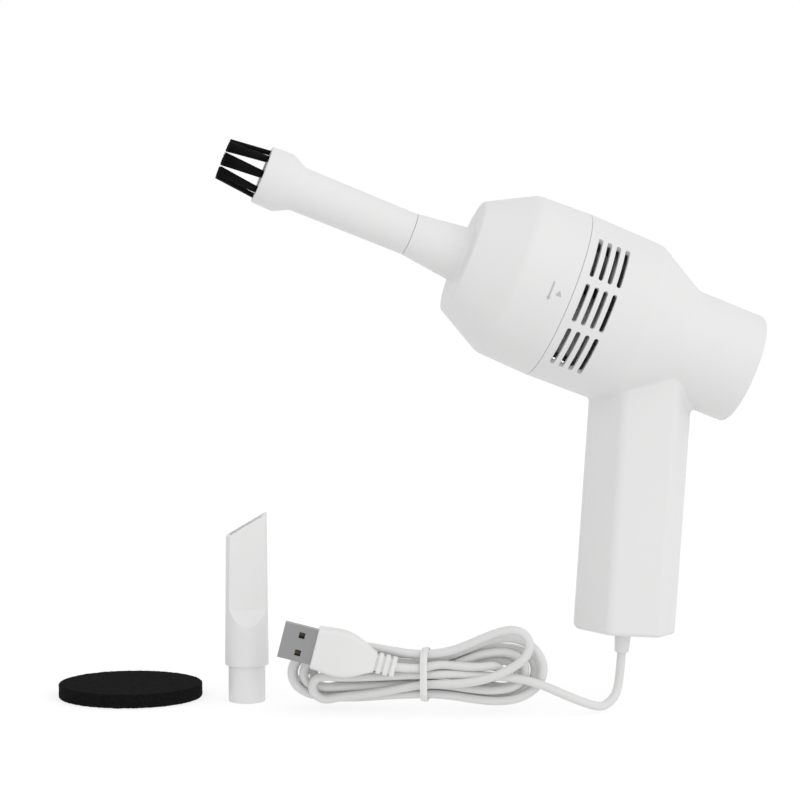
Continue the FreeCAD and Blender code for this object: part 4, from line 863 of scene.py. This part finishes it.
@dataclass
class TieBand:
    """The band round the hank's waist: a flat band with a thin raised lip beside it.

    Attributes:
        middle: The hank's middle.
        yaw: The hank's turn about the vertical.
        centre: The band's centre in the hank's own frame.
        hollow: The band's inner depth and height.
        corner: Its corners' radius.
        band: The flat band's place along the hank, its width and its thickness.
        lip: The same of the lip.
        edge: How far its edges are rounded.
    """

    middle: Point = (-0.0702, 0.0006, -0.0500)
    yaw: float = math.radians(-12.0)
    centre: tuple[float, float] = (-0.0037, 0.00078)
    hollow: tuple[float, float] = (0.0130, 0.0167)
    corner: float = 0.0042
    band: tuple[float, float, float] = (0.0011, 0.0017, 0.0005)
    lip: tuple[float, float, float] = (-0.0001, 0.0008, 0.0003)
    edge: float = 0.00012

    def ring(self, along: float, width: float, thickness: float) -> bpy.types.Object:
        """One rounded rectangular ring in the hank's own frame.

        Args:
            along: Its middle's place along the hank.
            width: Its width along the hank.
            thickness: Its wall.

        Returns:
            The ring.
        """
        deselect_all()
        bpy.ops.mesh.primitive_cube_add(size=1.0, location=(along, *self.centre))
        ring = named_primitive("ring")
        bpy.ops.transform.resize(value=(width, *self.hollow))
        settle(ring)
        select_where(ring, Pick.EDGE, lambda edge: span(edge).x > width / 2)
        bpy.ops.mesh.bevel(offset=self.corner, segments=8)
        leave_edit()
        select_where(ring, Pick.FACE, lambda face: abs(face.normal.x) > FACING)
        bpy.ops.mesh.delete(type="FACE")
        leave_edit()
        outward(ring)
        apply_modifier(ring, "SOLIDIFY", thickness=thickness, offset=1.0)
        apply_modifier(ring, "BEVEL", width=self.edge, segments=2, limit_method="ANGLE")
        return ring

    def build(self, finishes: Finishes) -> bpy.types.Object:
        """Models the band and sets it on the hank's waist.

        Args:
            finishes: The object's finishes.

        Returns:
            The band.
        """
        tie = joined([self.ring(*self.band), self.ring(*self.lip)], "tie_band")
        tie.data.transform(Matrix.Translation(self.middle) @ Matrix.Rotation(self.yaw, 4, "Z"))
        smooth(tie)
        finishes.dress(tie, Finishes.TIE)
        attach(tie, Body.HOUSING.value)
        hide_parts("cable_tie")
        return tie


# Brush


@dataclass
class Brush:
    """The ring of bristle tufts in the brush nozzle's mouth.

    Attributes:
        count: Tufts in the ring.
        bristles: Bristles in a tuft.
        bristle_radius: One bristle's radius.
        mouth: Where the nozzle's mouth lies along the barrel's axis.
        root_depth: How deep the bristles are set.
        length: How far they stand out.
        root_circle: The circle that the tufts' roots lie on.
        tip_circle: The circle that their tips lie on.
        root_half: Half sizes of a tuft's section at its root, across and radial.
        tip_half: The same at its tip.
        tip_taper: A bristle's thickness at its tip, as a share of that at its root.
        shortest: The shortest bristle, as a share of the length.
        scatter: How far tips stray, as a share of the tuft's half size.
        spiral: The turn from one bristle to the next.
        seed: For the bristles' uneven places.
    """

    count: int = 8
    bristles: int = 150
    bristle_radius: float = 0.00013
    mouth: float = -0.1071
    root_depth: float = 0.0035
    length: float = 0.0139
    root_circle: float = 0.00795
    tip_circle: float = 0.0061
    root_half: tuple[float, float] = (0.00085, 0.00075)
    tip_half: tuple[float, float] = (0.0022, 0.00085)
    tip_taper: float = 0.75
    shortest: float = 0.965
    scatter: float = 0.1
    spiral: float = math.radians(137.5)
    seed: int = 7

    def bristle(self) -> bpy.types.Object:
        """One bristle: a thin tapered rod along X, one metre long, to be placed by a matrix.

        Returns:
            The rod.
        """
        deselect_all()
        bpy.ops.mesh.primitive_cylinder_add(vertices=5, radius=self.bristle_radius, depth=1.0,
                                            rotation=(0, math.pi / 2, 0), location=(0.5, 0, 0))
        rod = named_primitive("bristle")
        bpy.ops.object.transform_apply(location=True, rotation=True, scale=True)
        select_where(rod, Pick.FACE, lambda face: face.normal.x > FACING)
        bpy.ops.transform.resize(value=(1.0, self.tip_taper, self.tip_taper))
        leave_edit()
        return rod

    def tuft(self, rod: bpy.types.Object, dice: random.Random) -> bpy.types.Object:
        """One tuft of bristles at the top of the ring, in barrel coordinates.

        Args:
            rod: The model bristle.
            dice: A seeded source of uneven places.

        Returns:
            The tuft.
        """
        copies = []
        for index in range(self.bristles):
            angle = index * self.spiral
            radius = math.sqrt((index + 0.5) / self.bristles)
            across, radial = radius * math.cos(angle), radius * math.sin(angle)
            root = Vector((self.mouth + self.root_depth, across * self.root_half[0],
                           self.root_circle + radial * self.root_half[1]))
            reach = self.length * dice.uniform(self.shortest, 1.0)
            across += dice.uniform(-self.scatter, self.scatter)
            radial += dice.uniform(-self.scatter, self.scatter)
            tip = Vector((self.mouth - reach, across * self.tip_half[0],
                          self.tip_circle + radial * self.tip_half[1]))
            along = tip - root
            turn = along.to_track_quat("X", "Z").to_matrix().to_4x4()
            stretch = Matrix.Diagonal((along.length, 1.0, 1.0, 1.0))
            copies.append(copied(rod, Matrix.Translation(root) @ turn @ stretch))
        return joined(copies, "tuft")

    def build(self, finishes: Finishes) -> bpy.types.Object:
        """Models all tufts and sets them in the nozzle.

        Args:
            finishes: The object's finishes.

        Returns:
            The bristles.
        """
        dice = random.Random(self.seed)
        rod = self.bristle()
        tufts = []
        model = self.tuft(rod, dice)
        for index in range(self.count):
            turn = Matrix.Rotation(2 * math.pi * index / self.count, 4, "X")
            tufts.append(copied(model, BARREL_TURN @ turn))
        bpy.data.objects.remove(rod)
        bpy.data.objects.remove(model)
        bristles = joined(tufts, "bristles")
        for face in bristles.data.polygons:
            face.use_smooth = len(face.vertices) == 4
        finishes.dress(bristles, Finishes.BRISTLE)
        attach(bristles, Body.BRUSH.value)
        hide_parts("brush_tufts")
        return bristles


# Foam filters


@dataclass
class FoamFilter:
    """A disc cut from open-cell foam.

    Attributes:
        name: The piece's name.
        node: The CAD node that it stands for.
        body: The body that it rides on.
        radius: The disc's radius.
        place: Where the disc's middle goes, its axis along Z before.
        thickness: Its thickness.
        voxel: The mesh's cell size.
        roughen: How far the cut surface's cells sink.
        pore: The size of those cells.
        edge: How far the rim is rounded.
    """

    name: str
    node: str
    body: Body
    radius: float
    place: Matrix
    thickness: float = FOAM_THICKNESS
    voxel: float = 0.00045
    roughen: float = 0.00022
    pore: float = 0.0011
    edge: float = 0.0004

    def build(self, finishes: Finishes) -> bpy.types.Object:
        """Models the disc, roughened by its cut cells.

        Args:
            finishes: The object's finishes.

        Returns:
            The disc.
        """
        deselect_all()
        bpy.ops.mesh.primitive_cylinder_add(vertices=128, radius=self.radius, depth=self.thickness)
        disc = named_primitive(self.name)
        select_where(disc, Pick.EDGE, lambda edge: span(edge).z < SAME_PLACE)
        bpy.ops.mesh.bevel(offset=self.edge, segments=2)
        leave_edit()
        apply_modifier(disc, "REMESH", mode="VOXEL", voxel_size=self.voxel)
        pores = bpy.data.textures.new(self.name, "VORONOI")
        pores.noise_scale = self.pore
        apply_modifier(disc, "DISPLACE", texture=pores, texture_coords="LOCAL",
                       strength=self.roughen, mid_level=1.0)
        for face in disc.data.polygons:
            face.use_smooth = True
        settle(disc, self.place)
        finishes.dress(disc, Finishes.FOAM)
        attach(disc, self.body.value)
        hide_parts(self.node)
        return disc


# Marks on the cup


@dataclass
class CupMarks:
    """Plain printed marks beside the seam: a triangle, and an arrow to turn the cup by.

    Attributes:
        cup_radius: The cup's radius at the seam.
        taper: How much it loses per metre towards the nose.
        lift: How far the print stands off the cup.
        triangle: The triangle's middle, as a place along the barrel and an angle from the top.
        triangle_size: The radius of the circle round it.
        arrow: Where the arrow starts and ends, in the same way.
        width: The arrow line's width.
        head_size: The radius of the circle round the arrow's head.
        cells: How often the flat shapes are divided before they are bent.
        side: The cup's side, as an angle from the top.
    """

    cup_radius: float = 0.0290
    taper: float = 0.8 / 18.4
    lift: float = 0.00004
    triangle: tuple[float, float] = (-0.0043, math.radians(-91.2))
    triangle_size: float = 0.00125
    arrow: tuple[tuple[float, float], tuple[float, float]] = (
        (-0.0071, math.radians(-84.3)), (-0.0071, math.radians(-97.6)))
    width: float = 0.00055
    head_size: float = 0.00085
    cells: int = 5
    side: float = math.radians(-90)

    def on_cup(self, along: float, across: float) -> Vector:
        """A point of the print, above the cup.

        Args:
            along: Its place along the barrel.
            across: Its way round the cup from the cup's side, downwards.

        Returns:
            The point in the object's frame.
        """
        radius = self.cup_radius + along * self.taper + self.lift
        angle = self.side - across / self.cup_radius
        return BARREL_TURN @ Vector((along, math.sin(angle) * radius, math.cos(angle) * radius))

    def flat(self, place: tuple[float, float]) -> Vector:
        """Where a place on the cup lies in the unrolled print."""
        return Vector((place[0], (self.side - place[1]) * self.cup_radius, 0.0))

    def head(self, place: Vector, radius: float, point_up: bool) -> bpy.types.Object:
        """A flat filled triangle of the unrolled print.

        Args:
            place: Its middle.
            radius: The radius of the circle round it.
            point_up: Whether it points to the cup's top.

        Returns:
            The triangle.
        """
        deselect_all()
        turn = (0, 0, math.pi if point_up else 0)
        bpy.ops.mesh.primitive_circle_add(vertices=3, radius=radius, fill_type="NGON",
                                          location=place, rotation=turn)
        return settle(named_primitive("head"))

    def line(self, start: Vector, end: Vector) -> bpy.types.Object:
        """A flat strip of the unrolled print, along the cup's round.

        Args:
            start: Where it starts.
            end: Where it ends.

        Returns:
            The strip.
        """
        deselect_all()
        bpy.ops.mesh.primitive_plane_add(size=1.0, location=(start + end) / 2)
        strip = named_primitive("line")
        bpy.ops.transform.resize(value=(self.width, (end - start).length, 1.0))
        return settle(strip)

    def build(self, finishes: Finishes) -> bpy.types.Object:
        """Models the flat marks and bends them round the cup.

        Args:
            finishes: The object's finishes.

        Returns:
            The marks.
        """
        start, end = (self.flat(place) for place in self.arrow)
        tip = end - Vector((0, self.head_size, 0))
        marks = joined([
            self.head(self.flat(self.triangle), self.triangle_size, True),
            self.head(tip, self.head_size, False),
            self.line(start, tip),
        ], "cup_marks")
        select_where(marks, Pick.FACE, lambda face: True)
        bpy.ops.mesh.subdivide(number_cuts=self.cells)
        bpy.ops.mesh.quads_convert_to_tris()
        leave_edit()
        for vertex in marks.data.vertices:
            vertex.co = self.on_cup(vertex.co.x, vertex.co.y)
        outward(marks)
        finishes.dress(marks, Finishes.MARK)
        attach(marks, Body.CUP.value)
        return marks


# Studio


@dataclass
class Studio:
    """The floor, the light and the camera.

    Attributes:
        photo_size: The photograph's side, in pixels.
        focal: The camera's focal length, in pixels of the photograph.
        yaw: How far the camera stands towards the nose.
        pitch: How far it looks down.
        eye: Where it stands.
        sensor: The sensor's width, in millimetres.
        dome: The surround's light, the same from all sides.
        bright_side: The side that more light comes from.
        side_gain: How much more comes from there.
        floor_tone: The floor's tone for the light that it throws back.
        floor_glow: Light that it gives whether or not something shades it.
        floor_shadow: How much of the shadows the camera sees.
        floor_white: The floor's own white, as the camera sees it.
        floor_rough: The floor's roughness.
        floor_side: The floor's side.
        clip: The nearest and the farthest that the camera sees.
    """

    photo_size: float = 800.0
    focal: float = 2900.0
    yaw: float = math.radians(6.0)
    pitch: float = math.radians(4.3)
    eye: Point = (-0.1798, -0.9635, 0.1160)
    sensor: float = 36.0
    dome: float = 0.67
    bright_side: Point = (0.492, -0.853, 0.174)
    side_gain: float = 0.72
    floor_tone: float = 0.38
    floor_glow: float = 0.48
    floor_shadow: float = 0.35
    floor_white: float = 0.72
    floor_rough: float = 0.9
    floor_side: float = 12.0
    clip: tuple[float, float] = (0.05, 20.0)

    def camera(self) -> bpy.types.Object:
        """The camera at the photograph's viewing angle.

        Returns:
            The camera.
        """
        data = bpy.data.cameras.new("camera")
        data.sensor_width = self.sensor
        data.lens = self.focal / self.photo_size * self.sensor
        data.clip_start, data.clip_end = self.clip
        camera = bpy.data.objects.new("camera", data)
        bpy.context.scene.collection.objects.link(camera)
        back = Vector((-math.sin(self.yaw) * math.cos(self.pitch),
                       -math.cos(self.yaw) * math.cos(self.pitch), math.sin(self.pitch)))
        right = Vector((0, 0, 1)).cross(back).normalized()
        up = back.cross(right)
        turn = Matrix((right, up, back)).transposed().to_4x4()
        camera.matrix_world = Matrix.Translation(self.eye) @ turn
        bpy.context.scene.camera = camera
        return camera

    def floor(self) -> bpy.types.Object:
        """The pale floor under the accessories.

        Returns:
            The floor.
        """
        deselect_all()
        bpy.ops.mesh.primitive_plane_add(size=self.floor_side, location=(0, 0, SURFACE))
        floor = named_primitive("floor")
        material = bpy.data.materials.new("pale_floor")
        tree = Tree(material)
        pale = tree.tree.nodes["Principled BSDF"]
        pale.inputs["Base Color"].default_value = (*(self.floor_tone,) * 3, 1.0)
        pale.inputs["Roughness"].default_value = self.floor_rough
        pale.inputs["Specular IOR Level"].default_value = 0.0
        pale.inputs["Emission Color"].default_value = UNTINTED
        pale.inputs["Emission Strength"].default_value = self.floor_glow
        material.cycles.emission_sampling = "NONE"
        faint = tree.add("ShaderNodeBsdfDiffuse")
        faint.inputs["Color"].default_value = (*(self.floor_shadow,) * 3, 1.0)
        white = tree.add("ShaderNodeEmission")
        white.inputs["Strength"].default_value = self.floor_white
        lit = tree.add("ShaderNodeAddShader")
        tree.wire(faint.outputs[0], lit.inputs[0])
        tree.wire(white.outputs[0], lit.inputs[1])
        seen = tree.seen_rays("Is Camera Ray", "Is Glossy Ray")
        tree.wire(tree.mixed(seen, pale.outputs[0], lit.outputs[0]),
                  tree.tree.nodes["Material Output"].inputs["Surface"])
        floor.data.materials.append(material)
        return floor

    def world(self) -> None:
        """A pale dome that is brightest on one side, and white where the camera sees it."""
        world = bpy.data.worlds.new("studio")
        bpy.context.scene.world = world
        tree = Tree(world)
        tree.tree.nodes.clear()
        direction = tree.add("ShaderNodeTexCoord").outputs["Generated"]
        along = tree.add("ShaderNodeVectorMath", operation="DOT_PRODUCT")
        tree.wire(direction, along.inputs[0])
        along.inputs[1].default_value = self.bright_side
        facing = tree.calc("MAXIMUM", along.outputs["Value"])
        light = tree.calc("ADD", tree.calc("MULTIPLY", facing, self.side_gain), self.dome)
        soft = tree.add("ShaderNodeBackground")
        tree.wire(light, soft.inputs["Strength"])
        white = tree.add("ShaderNodeBackground")
        for shade in (soft, white):
            shade.inputs["Color"].default_value = UNTINTED
        seen = tree.seen_rays("Is Camera Ray", "Is Glossy Ray", "Is Transmission Ray")
        output = tree.add("ShaderNodeOutputWorld")
        tree.wire(tree.mixed(seen, soft.outputs[0], white.outputs[0]), output.inputs["Surface"])

    def build(self) -> None:
        """Sets up the floor, the surround and the camera."""
        self.floor()
        self.world()
        self.camera()
        bpy.context.scene.view_settings.view_transform = "Standard"


def main() -> None:
    """Builds the dressed object in its studio."""
    logging.basicConfig(level=logging.INFO, format="%(message)s")
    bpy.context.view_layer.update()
    finishes = Finishes()
    CadNodes().dress(finishes)
    Lead().build(finishes, TieBand().build(finishes))
    log.info("lead laid")
    Brush().build(finishes)
    log.info("bristles set")
    FoamFilter("spare_filter", "spare_foam", Body.SPARE_FOAM, SPARE_FOAM_RADIUS,
               SPARE_FOAM_PLACE).build(finishes)
    FoamFilter("fitted_filter", "filter_foam", Body.HOUSING, FITTED_FOAM_RADIUS,
               FITTED_FOAM_PLACE).build(finishes)
    log.info("foam cut")
    CupMarks().build(finishes)
    log.info("marks printed")
    Studio().build()


if __name__ == "__main__":
    main()
